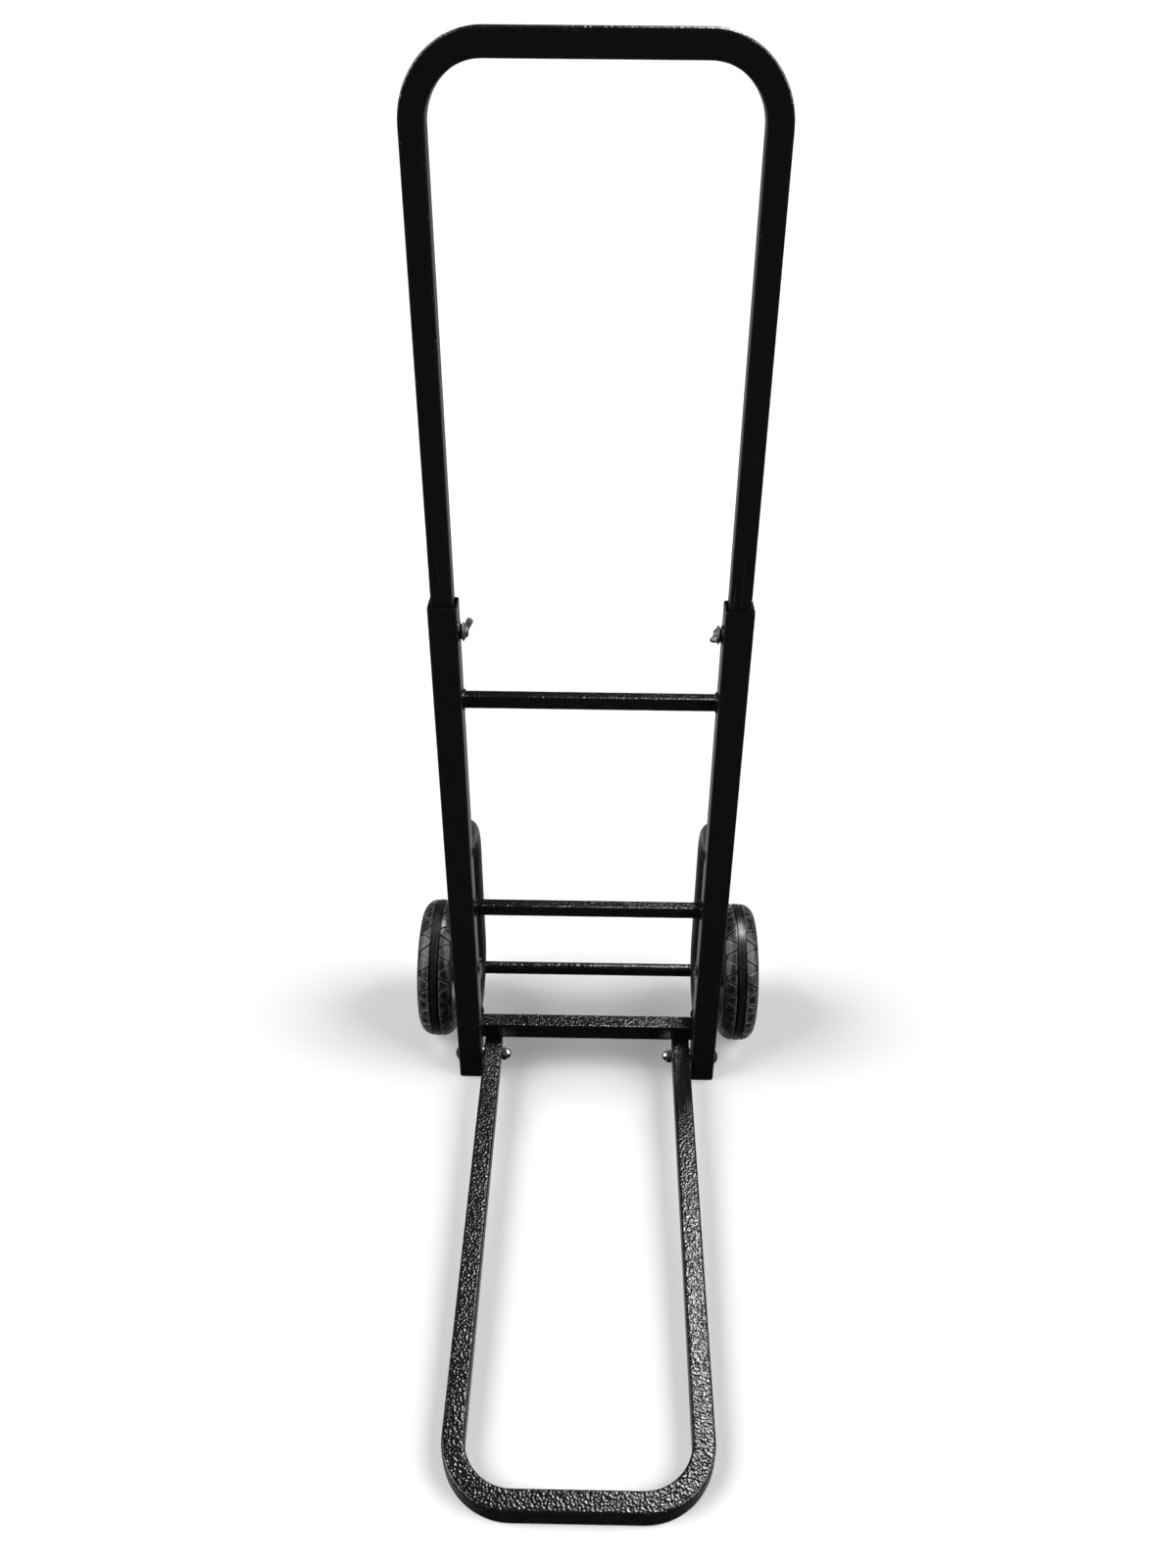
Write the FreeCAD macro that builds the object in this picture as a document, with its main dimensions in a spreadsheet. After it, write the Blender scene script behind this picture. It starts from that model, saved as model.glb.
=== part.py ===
import FreeCAD, Part
import math
import os

import Sketcher
from FreeCAD import Rotation, Vector

# A hand truck of bent and welded square tube. Two rails carry a handle that telescopes into their
# open tops, two wheels on a fixed axle behind them, and a tube nose that folds up between them.
# Frame of the model: +X across the truck, +Y from the nose to the wheels, +Z up, with the floor at
# z = 0. The pieces are drawn in the truck's frame, whose y = 0 is the rails' front face, and each
# sub-part's Placement then moves it back so that the origin lies under the middle of the whole truck.

SIZES = [
    ("frame_width", 279.4, "over the two rails"),
    ("rail_side", 25.4, "square tube of the rails"),
    ("rail_wall", 1.65, "wall of the rails"),
    ("rail_corner", 2.6, "outer corner radius of the rails"),
    ("rail_top", 568, "height of the rails' open tops"),
    ("foot_thickness", 2.5, "plate of the foot caps"),
    ("foot_plug_clear", 3.5, "from a foot cap's insert up to the pivot bolt"),
    ("plug_gap", 0.1, "gap between what is pushed in and the hole around it"),
    ("crossbar_side", 12.7, "square tube of the upper and middle crossbars"),
    ("crossbar_wall", 1.2, "wall of those crossbars"),
    ("crossbar_corner", 1.9, "outer corner radius of those crossbars"),
    ("crossbar_upper_drop", 98.4, "from the rails' tops to the upper crossbar's centre"),
    ("crossbar_middle_height", 226.6, "centre of the middle crossbar"),
    ("stop_side", 19.05, "square tube of the stop bar"),
    ("stop_wall", 1.5, "wall of the stop bar"),
    ("stop_inset", 3, "from the rails' outer faces to the stop bar's ends"),
    ("stop_gap", 0.35, "between the stop bar and the nose arms below it"),
    ("tube_corner", 2.2, "outer corner radius of the 19 mm tubes"),
    ("bracket_tube", 25.4, "round tube of the axle brackets"),
    ("bracket_wall", 1.5, "wall of the axle brackets"),
    ("bracket_top", 291, "centre of the brackets' upper legs"),
    ("bracket_clear", 1, "least gap between the stop bar and the lower legs above it"),
    ("axle_setback", 68.6, "from the rails' back faces to the axle's centre"),
    ("axle_diameter", 14, "solid axle"),
    ("axle_weld_gap", 0.05, "between the axle and what is welded to it or pressed on it"),
    ("wheel_radius", 76.2, "over the tyre"),
    ("wheel_width", 38, "over the tyre"),
    ("tyre_height", 20.2, "from the tyre's inside to its tread"),
    ("bead_edge", 4, "from the tyre's side to its bead's edge, and to the core's side"),
    ("wall_corner", 8, "height of the tyre's side wall above the bead"),
    ("shoulder_inset", 5, "from the tyre's side to the tread's edge"),
    ("shoulder_drop", 2.4, "from the tread's top to the tread's edge"),
    ("shoulder_radius", 9, "arc between side wall and tread"),
    ("rib_width", 6, "centre rib of the tread"),
    ("groove_width", 2.4, "groove on each side of the rib"),
    ("groove_depth", 2.8, "depth of that groove"),
    ("groove_draft", 0.4, "how much narrower that groove is at its floor, on each side"),
    ("barrel_edge", 5, "thickness of the core's barrel at its edges"),
    ("barrel_middle", 8, "thickness of the core's barrel at the web"),
    ("web_half", 4, "half the thickness of the core's web"),
    ("window_radius", 8.5, "round windows in the web"),
    ("window_inset", 2.5, "how far the windows lie inside the middle of the web"),
    ("hub_radius", 17, "outside of the wheel's hub"),
    ("hub_inner", 21, "from the wheel's centre to the hub's inner end"),
    ("hub_outer", 8, "from the wheel's centre to the hub's outer end"),
    ("bushing_radius", 9.4, "outside of the bushings' sleeves"),
    ("bushing_length", 12, "length of a bushing's sleeve"),
    ("flange_radius", 12.5, "flange of the bushings"),
    ("flange_thickness", 1.5, "flange of the bushings"),
    ("running_gap", 0.08, "radial gap of what turns on the axle or bolt"),
    ("side_gap", 0.35, "gap at the side of what turns"),
    ("washer_radius", 12, "outside of the axle washers"),
    ("washer_thickness", 1.5, "the axle washers"),
    ("collar_inset", 2.05, "from a rail's outer face in to the collar's inner end"),
    ("collar_width", 4, "collar pressed on the axle"),
    ("collar_radius", 9.5, "outside of that collar"),
    ("cap_length", 7, "axle cap"),
    ("cap_wall", 2.6, "side wall of the axle cap"),
    ("cap_end", 2.2, "end wall of the axle cap"),
    ("handle_gap", 1.525, "between the handle's tube and the rail's inside, on each side"),
    ("handle_wall", 1.5, "wall of the handle"),
    ("handle_top", 990, "top of the handle"),
    ("handle_bend", 50, "centreline radius of the handle's bends"),
    ("handle_insertion", 140, "length of handle leg inside the rail"),
    ("glide_gap", 0.3, "gap between a glide and the rail's inside"),
    ("glide_thickness", 6, "foot of a glide"),
    ("glide_insert", 14, "length of a glide's insert in the handle's foot"),
    ("clamp_drop", 27, "from the rails' tops to the wing screws' centres"),
    ("screw_diameter", 8, "thread of the wing screws and pivot bolts"),
    ("nut_flats", 13, "across the flats of the nuts"),
    ("clamp_nut_length", 2.6, "thin weld nut on the rail"),
    ("edge_chamfer", 0.8, "at the ends of threads, hubs and the axle"),
    ("screw_flare", 8.5, "radius of a wing screw's hub at its foot"),
    ("screw_neck", 4.2, "radius of that hub at its end"),
    ("screw_hub", 5, "length of that hub"),
    ("wing_span", 14, "from the screw's axis to the wing's tip"),
    ("wing_lean", 9.6, "from the hub's foot to the wing's tip, along the screw"),
    ("wing_width", 6, "width of the wing across its length"),
    ("wing_thickness", 2.5, "plate of the wing"),
    ("nose_side", 19.05, "square tube of the nose"),
    ("nose_wall", 1.5, "wall of the nose"),
    ("nose_length", 480, "from the pivot to the nose's front face"),
    ("nose_bend", 50.5, "centreline radius of the nose's bends"),
    ("nose_rear", 21, "from the pivot to the rear end of an arm"),
    ("nose_plug_plate", 2, "plate of the nose plugs"),
    ("nose_plug_clear", 1, "from a nose plug's insert to the pivot bolt ahead of it"),
    ("pivot_height", 24, "height of the pivot bolts"),
    ("pivot_spacer", 1.2, "washer between rail and nose arm"),
    ("spacer_radius", 8.5, "outside of that washer"),
    ("bolt_head_radius", 8, "domed head of the pivot bolts"),
    ("bolt_head_height", 4.6, "domed head of the pivot bolts"),
    ("acorn_hex", 5.5, "hexagon part of the pivot nuts"),
    ("acorn_length", 10.5, "whole pivot nut"),
    ("acorn_thread", 7, "depth of the pivot nuts' thread"),
    ("acorn_shoulder", 0.7, "from the nut's flats to the edge of its dome"),
]

doc = FreeCAD.newDocument("hand_truck")
sheet = doc.addObject("Spreadsheet::Sheet", "Sizes")
for row, (alias, number, meaning) in enumerate(SIZES, start=1):
    sheet.set(f"A{row}", meaning)
    sheet.set(f"B{row}", str(number))
    sheet.setAlias(f"B{row}", alias)
doc.recompute()

# Lengths that follow from the sheet, as expressions in the truck's frame.
S = "Sizes."
RAIL_X = f"({S}frame_width - {S}rail_side) / 2"
RAIL_MIDDLE = f"{S}rail_side / 2"
RAIL_BORE = f"({S}rail_side - 2 * {S}rail_wall)"
HANDLE_SIDE = f"({RAIL_BORE} - 2 * {S}handle_gap)"
CLAMP_HEIGHT = f"({S}rail_top - {S}clamp_drop)"
RIM_RADIUS = f"({S}wheel_radius - {S}tyre_height)"
AXLE_Y = f"({S}rail_side + {S}axle_setback)"
AXLE_Z = f"{S}wheel_radius"
# The nose droops from its pivot until its front bar lies on the floor.
DROOP = f"asin(({S}pivot_height - {S}nose_side / 2) / {S}nose_length)"
NOSE_REACH = (f"({S}nose_length * cos({DROOP}) + {S}nose_side / 2 * sin({DROOP})"
              f" - {RAIL_MIDDLE})")
# The origin is midway between the nose's front and the back of the wheels.
BACK_SHIFT = f"({NOSE_REACH} - {AXLE_Y} - {S}wheel_radius) / 2"
ARM_X = (f"({S}frame_width / 2 - {S}rail_side - {S}side_gap - {S}pivot_spacer"
         f" - {S}nose_side / 2)")
STOP_BOTTOM = (f"({S}pivot_height + {S}nose_side / 2 * cos({DROOP})"
               f" + {S}nose_rear * sin({DROOP}) + {S}stop_gap)")
# The brackets' lower legs are level with the axle, or higher where the stop bar needs the room,
# and the axle lies in the outside of their lower bends.
LOWER_LEG = (f"max({AXLE_Z}; {STOP_BOTTOM} + {S}stop_side + {S}bracket_clear"
             f" + {S}bracket_tube / 2)")
AXLE_SEAT = f"(({S}bracket_tube + {S}axle_diameter) / 2 + {S}axle_weld_gap)"
SEAT_DROP = f"({AXLE_SEAT} - {LOWER_LEG} + {AXLE_Z})"
BRACKET_BEND = f"({SEAT_DROP} + sqrt(2 * {AXLE_SEAT} * {SEAT_DROP}))"
LEG_FOOT = f"({S}rail_top - {S}handle_insertion + {S}glide_thickness)"
AXLE_BORE = f"({S}axle_diameter / 2 + {S}running_gap)"
SCREW_BORE = f"({S}screw_diameter / 2 + {S}running_gap)"
WASHER_BORE = f"({S}axle_diameter / 2 + {S}axle_weld_gap)"
# Along a wheel's axis, outwards from the tyre's centre.
INNER_FACE = f"({S}hub_inner + {S}flange_thickness)"
OUTER_FACE = f"({S}hub_outer + {S}flange_thickness)"
COLLAR_START = f"({INNER_FACE} + {S}side_gap + {S}washer_thickness + {S}collar_width)"
WHEEL_X = f"({S}frame_width / 2 - {S}collar_inset + {COLLAR_START})"
# The outer washer stands off the bushing, and the axle's end as far off its cap's floor.
AXLE_END = f"({OUTER_FACE} + {S}washer_thickness + {S}cap_length - {S}cap_end)"

WINDOW_COUNT = 6
HALF_TURN = Rotation(Vector(0, 0, 1), 180)
UPRIGHT = Rotation()
SIDES = (("left", -1, UPRIGHT), ("right", 1, HALF_TURN))
OUTWARD = {"left": HALF_TURN, "right": UPRIGHT}
# The left wing screw is tightened a little further than the right one.
WING_TURN = {"left": Rotation(Vector(1, 0, 0), 40), "right": HALF_TURN}

parts = []


def value(expression):
    """Return the number that an expression on the sheet has now."""
    result = sheet.evalExpression(str(expression))
    return float(getattr(result, "Value", result))


def place(piece, label, x="0", y="0", z="0", turn=UPRIGHT):
    """Name a finished sub-part and put it where the truck's frame says."""
    piece.Label = label
    piece.Placement = FreeCAD.Placement(Vector(), turn)
    piece.setExpression("Placement.Base.x", str(x))
    piece.setExpression("Placement.Base.y", f"{y} + {BACK_SHIFT}")
    piece.setExpression("Placement.Base.z", str(z))
    parts.append(piece)


def new_body(name):
    """Start the PartDesign body of one sub-part."""
    return doc.addObject("PartDesign::Body", "Body_" + name)


def sketch_on(body, role, name, offset=None):
    """Start a sketch on one of the body's own origin planes, moved along its normal."""
    plane = [f for f in body.Origin.OriginFeatures if f.Role == role][0]
    sketch = body.newObject("Sketcher::SketchObject", name)
    sketch.AttachmentSupport = [(plane, "")]
    sketch.MapMode = "FlatFace"
    if offset:
        sketch.setExpression("AttachmentOffset.Base.z", offset)
    return sketch


def fix(sketch, geometry, point, x, y):
    """Hold one point of a sketch at two expressions."""
    for axis, kind, place_at in ((-2, "DistanceX", x), (-1, "DistanceY", y)):
        if str(place_at) == "0":
            sketch.addConstraint(Sketcher.Constraint("PointOnObject", geometry, point, axis))
            continue
        number = sketch.addConstraint(
            Sketcher.Constraint(kind, -1, 1, geometry, point, value(place_at)))
        sketch.setExpression(f"Constraints[{number}]", str(place_at))


def arc_between(start, end, radius):
    """Return the anticlockwise arc from start to end, which bulges to the right of the way."""
    across = end - start
    left = Vector(-across.y, across.x, 0)
    left.normalize()
    half = across.Length / 2
    height = math.sqrt(max(radius * radius - half * half, 0))
    centre = (start + end) * 0.5 + left * height
    circle_of = Part.Circle(centre, Vector(0, 0, 1), radius)
    first = math.atan2(start.y - centre.y, start.x - centre.x)
    last = math.atan2(end.y - centre.y, end.x - centre.x)
    if last < first:
        last += 2 * math.pi
    return Part.ArcOfCircle(circle_of, first, last)


def draw(sketch, points, closed=True):
    """Draw an outline whose corners, and the radii of its arcs, are expressions.

    A point is (x, y) where a straight stretch follows it, or (x, y, radius) where an arc does.
    The arc bulges to the left of its way, and a radius that starts with "-" puts it on the right.
    """
    corners = [Vector(value(p[0]), value(p[1]), 0) for p in points]
    count = len(points) if closed else len(points) - 1
    first = None
    for index in range(count):
        point = points[index]
        start = corners[index]
        end = corners[(index + 1) % len(points)]
        start_end = (1, 2)
        if len(point) == 2:
            here = sketch.addGeometry(Part.LineSegment(start, end), False)
        else:
            size = point[2].lstrip("-")
            if point[2].startswith("-"):
                arc = arc_between(start, end, value(size))
            else:
                arc = arc_between(end, start, value(size))
                start_end = (2, 1)
            here = sketch.addGeometry(arc, False)
            number = sketch.addConstraint(Sketcher.Constraint("Radius", here, value(size)))
            sketch.setExpression(f"Constraints[{number}]", size)
        if first is None:
            first = (here, start_end[0])
            fix(sketch, here, start_end[0], point[0], point[1])
        else:
            joint = Sketcher.Constraint("Coincident", last[0], last[1], here, start_end[0])
            sketch.addConstraint(joint)
            fix(sketch, here, start_end[0], point[0], point[1])
        last = (here, start_end[1])
    if closed:
        sketch.addConstraint(Sketcher.Constraint("Coincident", last[0], last[1], *first))
    else:
        fix(sketch, last[0], last[1], points[-1][0], points[-1][1])


def circle(sketch, x, y, radius):
    """Draw a circle whose centre and radius are expressions."""
    centre = Vector(value(x), value(y), 0)
    ring = sketch.addGeometry(Part.Circle(centre, Vector(0, 0, 1), value(radius)), False)
    fix(sketch, ring, 3, x, y)
    number = sketch.addConstraint(Sketcher.Constraint("Radius", ring, value(radius)))
    sketch.setExpression(f"Constraints[{number}]", str(radius))


def rounded_square(sketch, side, corner, x="0", y="0"):
    """Draw a square with round corners, about (x, y)."""
    half = f"({side}) / 2"
    flat = f"(({side}) / 2 - ({corner}))"
    bulge = f"-({corner})"
    points = []
    for sx, sy in (("+", "-"), ("+", "+"), ("-", "+"), ("-", "-")):
        long_way = (f"{x} {sx} {half}", f"{y} {sy} {flat}")
        short_way = (f"{x} {sx} {flat}", f"{y} {sy} {half}")
        rises = sx == sy
        before, after = (long_way, short_way) if rises else (short_way, long_way)
        points += [(*before, bulge), after]
    draw(sketch, points)


def tube_section(sketch, side, wall, corner, x="0", y="0"):
    """Draw the section of a square tube."""
    rounded_square(sketch, side, corner, x, y)
    rounded_square(sketch, f"({side}) - 2 * ({wall})", f"({corner}) - ({wall})", x, y)


def pad(body, sketch, length, midplane=False, reverse=False):
    """Raise a sketch along its plane's normal, both ways or backwards if asked."""
    feature = body.newObject("PartDesign::Pad", "Pad")
    feature.Profile = sketch
    feature.setExpression("Length", length)
    feature.Midplane = midplane
    feature.Reversed = reverse
    return feature


def cut_through(body, sketch):
    """Cut a sketch through the whole body, both ways."""
    feature = body.newObject("PartDesign::Pocket", "Pocket")
    feature.Profile = sketch
    feature.Type = 1
    feature.Midplane = True
    return feature


def cut_forward(body, sketch, length):
    """Cut a sketch along its plane's normal."""
    feature = body.newObject("PartDesign::Pocket", "Pocket")
    feature.Profile = sketch
    feature.setExpression("Length", length)
    feature.Reversed = True
    return feature


def sweep(body, section, path):
    """Sweep a section along an open path."""
    feature = body.newObject("PartDesign::AdditivePipe", "Pipe")
    feature.Profile = section
    feature.Spine = (path, [])
    return feature


def turn_about_x(body, points, name="Outline"):
    """Revolve an outline of (along the axis, radius) points about X."""
    sketch = sketch_on(body, "XY_Plane", name)
    draw(sketch, points)
    feature = body.newObject("PartDesign::Revolution", "Revolution")
    feature.Profile = sketch
    feature.ReferenceAxis = (sketch, ["H_Axis"])
    feature.Angle = 360
    return feature


def ring(name, start, end, inner, outer):
    """Make a plain ring about X, from start to end."""
    body = new_body(name)
    turn_about_x(body, [(start, inner), (end, inner), (end, outer), (start, outer)])
    return body


def hexagon(sketch, flats):
    """Draw a hexagon about the origin, with a corner on each side along the sketch's x."""
    corner = f"(({flats}) / (2 * cos(30)))"
    half = f"(({flats}) / (4 * cos(30)))"
    side = f"(({flats}) / 2)"
    draw(sketch, [(corner, "0"), (half, side), (f"-{half}", side), (f"-{corner}", "0"),
                  (f"-{half}", f"-{side}"), (half, f"-{side}")])


def plug(name, plate_side, plate_thickness, plate_corner, insert_side, insert_corner, depth):
    """Make a tube's plug: a plate at z = 0 and an insert above it."""
    body = new_body(name)
    plate = sketch_on(body, "XY_Plane", "Plate")
    rounded_square(plate, plate_side, plate_corner)
    pad(body, plate, plate_thickness)
    insert = sketch_on(body, "XY_Plane", "Insert", plate_thickness)
    rounded_square(insert, insert_side, insert_corner)
    pad(body, insert, depth)
    return body


def rail(name):
    """Make a rail about its own middle line, its inner face towards +X."""
    body = new_body(name)
    section = sketch_on(body, "XY_Plane", "Section", S + "foot_thickness")
    tube_section(section, S + "rail_side", S + "rail_wall", S + "rail_corner")
    pad(body, section, f"{S}rail_top - {S}foot_thickness")
    pivot = sketch_on(body, "YZ_Plane", "PivotHole")
    circle(pivot, "0", S + "pivot_height", SCREW_BORE)
    cut_through(body, pivot)
    clamp = sketch_on(body, "YZ_Plane", "ClampHole")
    circle(clamp, "0", CLAMP_HEIGHT, SCREW_BORE)
    cut_forward(body, clamp, S + "rail_side")
    return body


def straight_bar(name, side, wall, corner, length):
    """Make a square tube along X, about its own middle."""
    body = new_body(name)
    section = sketch_on(body, "YZ_Plane", "Section")
    tube_section(section, side, wall, corner)
    pad(body, section, length, midplane=True)
    return body


def axle_bracket(name):
    """Make a D of round tube from the rail's back face round the axle and back to the rail."""
    body = new_body(name)
    back = S + "rail_side"
    turn = f"({AXLE_Y} - {BRACKET_BEND})"
    path = sketch_on(body, "YZ_Plane", "Path")
    draw(path, [(back, S + "bracket_top"),
                (turn, S + "bracket_top", BRACKET_BEND),
                (AXLE_Y, f"{S}bracket_top - {BRACKET_BEND}"),
                (AXLE_Y, f"{LOWER_LEG} + {BRACKET_BEND}", BRACKET_BEND),
                (turn, LOWER_LEG),
                (back, LOWER_LEG)], closed=False)
    section = sketch_on(body, "XZ_Plane", "Section", f"-{back}")
    circle(section, "0", S + "bracket_top", f"{S}bracket_tube / 2")
    circle(section, "0", S + "bracket_top", f"{S}bracket_tube / 2 - {S}bracket_wall")
    sweep(body, section, path)
    return body


def handle_loop():
    """Make the handle: one tube up from the left rail, across, and down into the right one."""
    body = new_body("handle")
    top = f"({S}handle_top - {HANDLE_SIDE} / 2)"
    bend = S + "handle_bend"
    path = sketch_on(body, "XZ_Plane", "Path")
    draw(path, [(f"-({RAIL_X})", LEG_FOOT),
                (f"-({RAIL_X})", f"{top} - {bend}", bend),
                (f"-({RAIL_X}) + {bend}", top),
                (f"{RAIL_X} - {bend}", top, bend),
                (RAIL_X, f"{top} - {bend}"),
                (RAIL_X, LEG_FOOT)], closed=False)
    section = sketch_on(body, "XY_Plane", "Section", LEG_FOOT)
    tube_section(section, HANDLE_SIDE, S + "handle_wall", S + "tube_corner", x=f"-({RAIL_X})")
    sweep(body, section, path)
    return body


def nose_loop():
    """Make the nose about its pivot: an arm forward, the front bar, and the other arm back."""
    body = new_body("nose")
    rear = f"({S}nose_rear - {S}nose_plug_plate)"
    front = f"-({S}nose_length - {S}nose_side / 2)"
    bend = S + "nose_bend"
    path = sketch_on(body, "XY_Plane", "Path")
    draw(path, [(f"-{ARM_X}", rear),
                (f"-{ARM_X}", f"{front} + {bend}", "-" + bend),
                (f"-{ARM_X} + {bend}", front),
                (f"{ARM_X} - {bend}", front, "-" + bend),
                (ARM_X, f"{front} + {bend}"),
                (ARM_X, rear)], closed=False)
    section = sketch_on(body, "XZ_Plane", "Section", f"-{rear}")
    tube_section(section, S + "nose_side", S + "nose_wall", S + "tube_corner", x=f"-{ARM_X}")
    sweep(body, section, path)
    pivot = sketch_on(body, "YZ_Plane", "PivotHole")
    circle(pivot, "0", "0", SCREW_BORE)
    cut_through(body, pivot)
    return body


def wing_screw(name):
    """Make a wing screw about X, with the rail's inner face at x = 0 and its wing at +X, +Y."""
    body = new_body(name)
    thread = f"{S}screw_diameter / 2"
    tip = f"-({S}rail_wall + {S}handle_gap - {S}glide_gap)"
    hub = f"({S}clamp_nut_length + {S}side_gap)"
    hub_end = f"({hub} + {S}screw_hub)"
    turn_about_x(body, [(tip, "0"), (tip, f"{thread} - {S}edge_chamfer"),
                        (f"{tip} + {S}edge_chamfer", thread), (hub, thread),
                        (hub, S + "screw_flare"),
                        (f"({hub} + {hub_end}) / 2", f"({S}screw_flare + {S}screw_neck) / 2"),
                        (hub_end, S + "screw_neck"), (hub_end, "0")])
    wing = sketch_on(body, "XY_Plane", "Wing")
    far = f"({hub} + {S}wing_lean)"
    root = f"({S}screw_neck / 3)"
    draw(wing, [(f"{hub} + {S}edge_chamfer", root), (f"{far} - {S}wing_width", S + "wing_span"),
                (far, f"{S}wing_span - {S}wing_width / 2"), (hub_end, root)])
    pad(body, wing, S + "wing_thickness", midplane=True)
    return body


def tyre(name):
    """Make a tyre about X: rounded shoulders, and a groove on each side of the centre rib."""
    body = new_body(name)
    half = f"({S}wheel_width / 2)"
    tread = S + "wheel_radius"
    floor = f"({tread} - {S}groove_depth)"
    rib = f"({S}rib_width / 2)"
    far = f"({rib} + {S}groove_width)"
    bead = RIM_RADIUS
    shoulder = f"-{S}shoulder_radius"
    profile = [(f"{half} - {S}bead_edge", bead),
               (half, f"{bead} + {S}wall_corner", shoulder),
               (f"{half} - {S}shoulder_inset", f"{tread} - {S}shoulder_drop"),
               (far, tread), (f"{far} - {S}groove_draft", floor),
               (f"{rib} + {S}groove_draft", floor), (rib, tread)]
    near_side = [(f"-({x})", r) for x, r, *_ in reversed(profile)]
    near_side[4] = (*near_side[4], shoulder)
    turn_about_x(body, profile + near_side)
    return body


def wheel_core(name):
    """Make a wheel's moulded core about X: barrel, web with round windows, and hub."""
    body = new_body(name)
    barrel = f"({RIM_RADIUS} - {S}plug_gap)"
    edge = f"({S}wheel_width / 2 - {S}bead_edge)"
    thin = f"({barrel} - {S}barrel_edge)"
    thick = f"({barrel} - {S}barrel_middle)"
    bore = f"({S}bushing_radius + {S}plug_gap)"
    web = S + "web_half"
    hub = S + "hub_radius"
    root = f"({hub} + {S}edge_chamfer)"
    hub_edge = f"({hub} - {S}edge_chamfer)"
    inner = f"-{S}hub_inner"
    outer = S + "hub_outer"
    turn_about_x(body, [(f"-{edge}", barrel), (f"-{edge}", thin), (f"-{web}", thick),
                        (f"-{web}", root), (f"{inner} + {S}edge_chamfer", hub),
                        (inner, hub_edge), (inner, bore), (outer, bore), (outer, hub_edge),
                        (f"{outer} - {S}edge_chamfer", hub), (web, root), (web, thick),
                        (edge, thin), (edge, barrel)])
    window = sketch_on(body, "YZ_Plane", "Window")
    circle(window, "0", f"({barrel} + {hub}) / 2 - {S}window_inset", S + "window_radius")
    first_window = cut_through(body, window)
    pattern = body.newObject("PartDesign::PolarPattern", "Windows")
    pattern.Originals = [first_window]
    pattern.Axis = ([f for f in body.Origin.OriginFeatures if f.Role == "X_Axis"][0], [""])
    pattern.Angle = 360
    pattern.Occurrences = WINDOW_COUNT
    body.Tip = pattern
    return body


def bushing(name, face, inward):
    """Make a flanged sleeve about X; its flange lies outside the hub's end at face."""
    body = new_body(name)
    sleeve = S + "bushing_radius"
    flange = S + "flange_radius"
    outer = f"({face} {inward} -1 * {S}flange_thickness)"
    end = f"({face} {inward} {S}bushing_length)"
    turn_about_x(body, [(end, AXLE_BORE), (outer, AXLE_BORE), (outer, flange),
                        (face, flange), (face, sleeve), (end, sleeve)])
    return body


def axle():
    """Make the axle about X, its ends chamfered."""
    body = new_body("axle")
    end = f"({WHEEL_X} + {AXLE_END})"
    outside = f"{S}axle_diameter / 2"
    edge = S + "edge_chamfer"
    turn_about_x(body, [(f"-{end}", "0"), (f"-{end}", f"{outside} - {edge}"),
                        (f"-{end} + {edge}", outside), (f"{end} - {edge}", outside),
                        (end, f"{outside} - {edge}"), (end, "0")])
    return body


def axle_cap(name):
    """Make the domed cap that is pushed on the axle's end, its open end at x = 0."""
    body = new_body(name)
    outside = f"({S}axle_diameter / 2 + {S}cap_wall)"
    length = S + "cap_length"
    floor = f"({length} - {S}cap_end)"
    turn_about_x(body, [("0", WASHER_BORE), ("0", outside), (f"{floor} - {S}axle_weld_gap", outside),
                        (f"{length} - {S}cap_end / 3", f"{outside} - {S}cap_wall"),
                        (length, f"{outside} - 2 * {S}cap_wall"),
                        (length, "0"), (floor, "0"), (floor, WASHER_BORE)])
    return body


def pivot_bolt(name):
    """Make a domed bolt about X, its head's flat side at x = 0 and its shank towards -X."""
    body = new_body(name)
    shank = f"{S}screw_diameter / 2"
    grip = (f"({S}rail_side + {S}side_gap + {S}pivot_spacer + {S}nose_side + {S}side_gap"
            f" + {S}acorn_thread - {S}edge_chamfer)")
    head = S + "bolt_head_radius"
    height = S + "bolt_head_height"
    dome = f"(({head} ^ 2 + {height} ^ 2) / (2 * {height}))"
    turn_about_x(body, [(f"-{grip}", "0"), (f"-{grip}", f"{shank} - {S}edge_chamfer"),
                        (f"-{grip} + {S}edge_chamfer", shank), ("0", shank),
                        ("0", head, dome), (height, "0")])
    return body


def acorn_nut(name):
    """Make a domed nut about X, its flat face at x = 0 and its dome towards -X."""
    body = new_body(name)
    hex_sketch = sketch_on(body, "YZ_Plane", "Hexagon")
    hexagon(hex_sketch, S + "nut_flats")
    pad(body, hex_sketch, S + "acorn_hex", reverse=True)
    dome = f"({S}acorn_length - {S}acorn_hex)"
    shoulder = f"({S}nut_flats / 2 - {S}acorn_shoulder)"
    radius = f"(({dome} ^ 2 + {shoulder} ^ 2) / (2 * {dome}))"
    inside = f"(-{S}acorn_hex / 2)"
    turn_about_x(body, [(inside, "0"), (f"-{S}acorn_length", "0", radius),
                        (f"-{S}acorn_hex", shoulder), (inside, shoulder)], "Dome")
    bore = sketch_on(body, "YZ_Plane", "Thread")
    circle(bore, "0", "0", SCREW_BORE)
    pocket = body.newObject("PartDesign::Pocket", "Pocket")
    pocket.Profile = bore
    pocket.setExpression("Length", S + "acorn_thread")
    return body


def clamp_nut(name):
    """Make the hexagonal weld nut about X, from the rail's face at x = 0 towards +X."""
    body = new_body(name)
    outline = sketch_on(body, "YZ_Plane", "Hexagon")
    hexagon(outline, S + "nut_flats")
    pad(body, outline, S + "clamp_nut_length")
    bore = sketch_on(body, "YZ_Plane", "Thread")
    circle(bore, "0", "0", SCREW_BORE)
    cut_through(body, bore)
    return body


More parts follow.
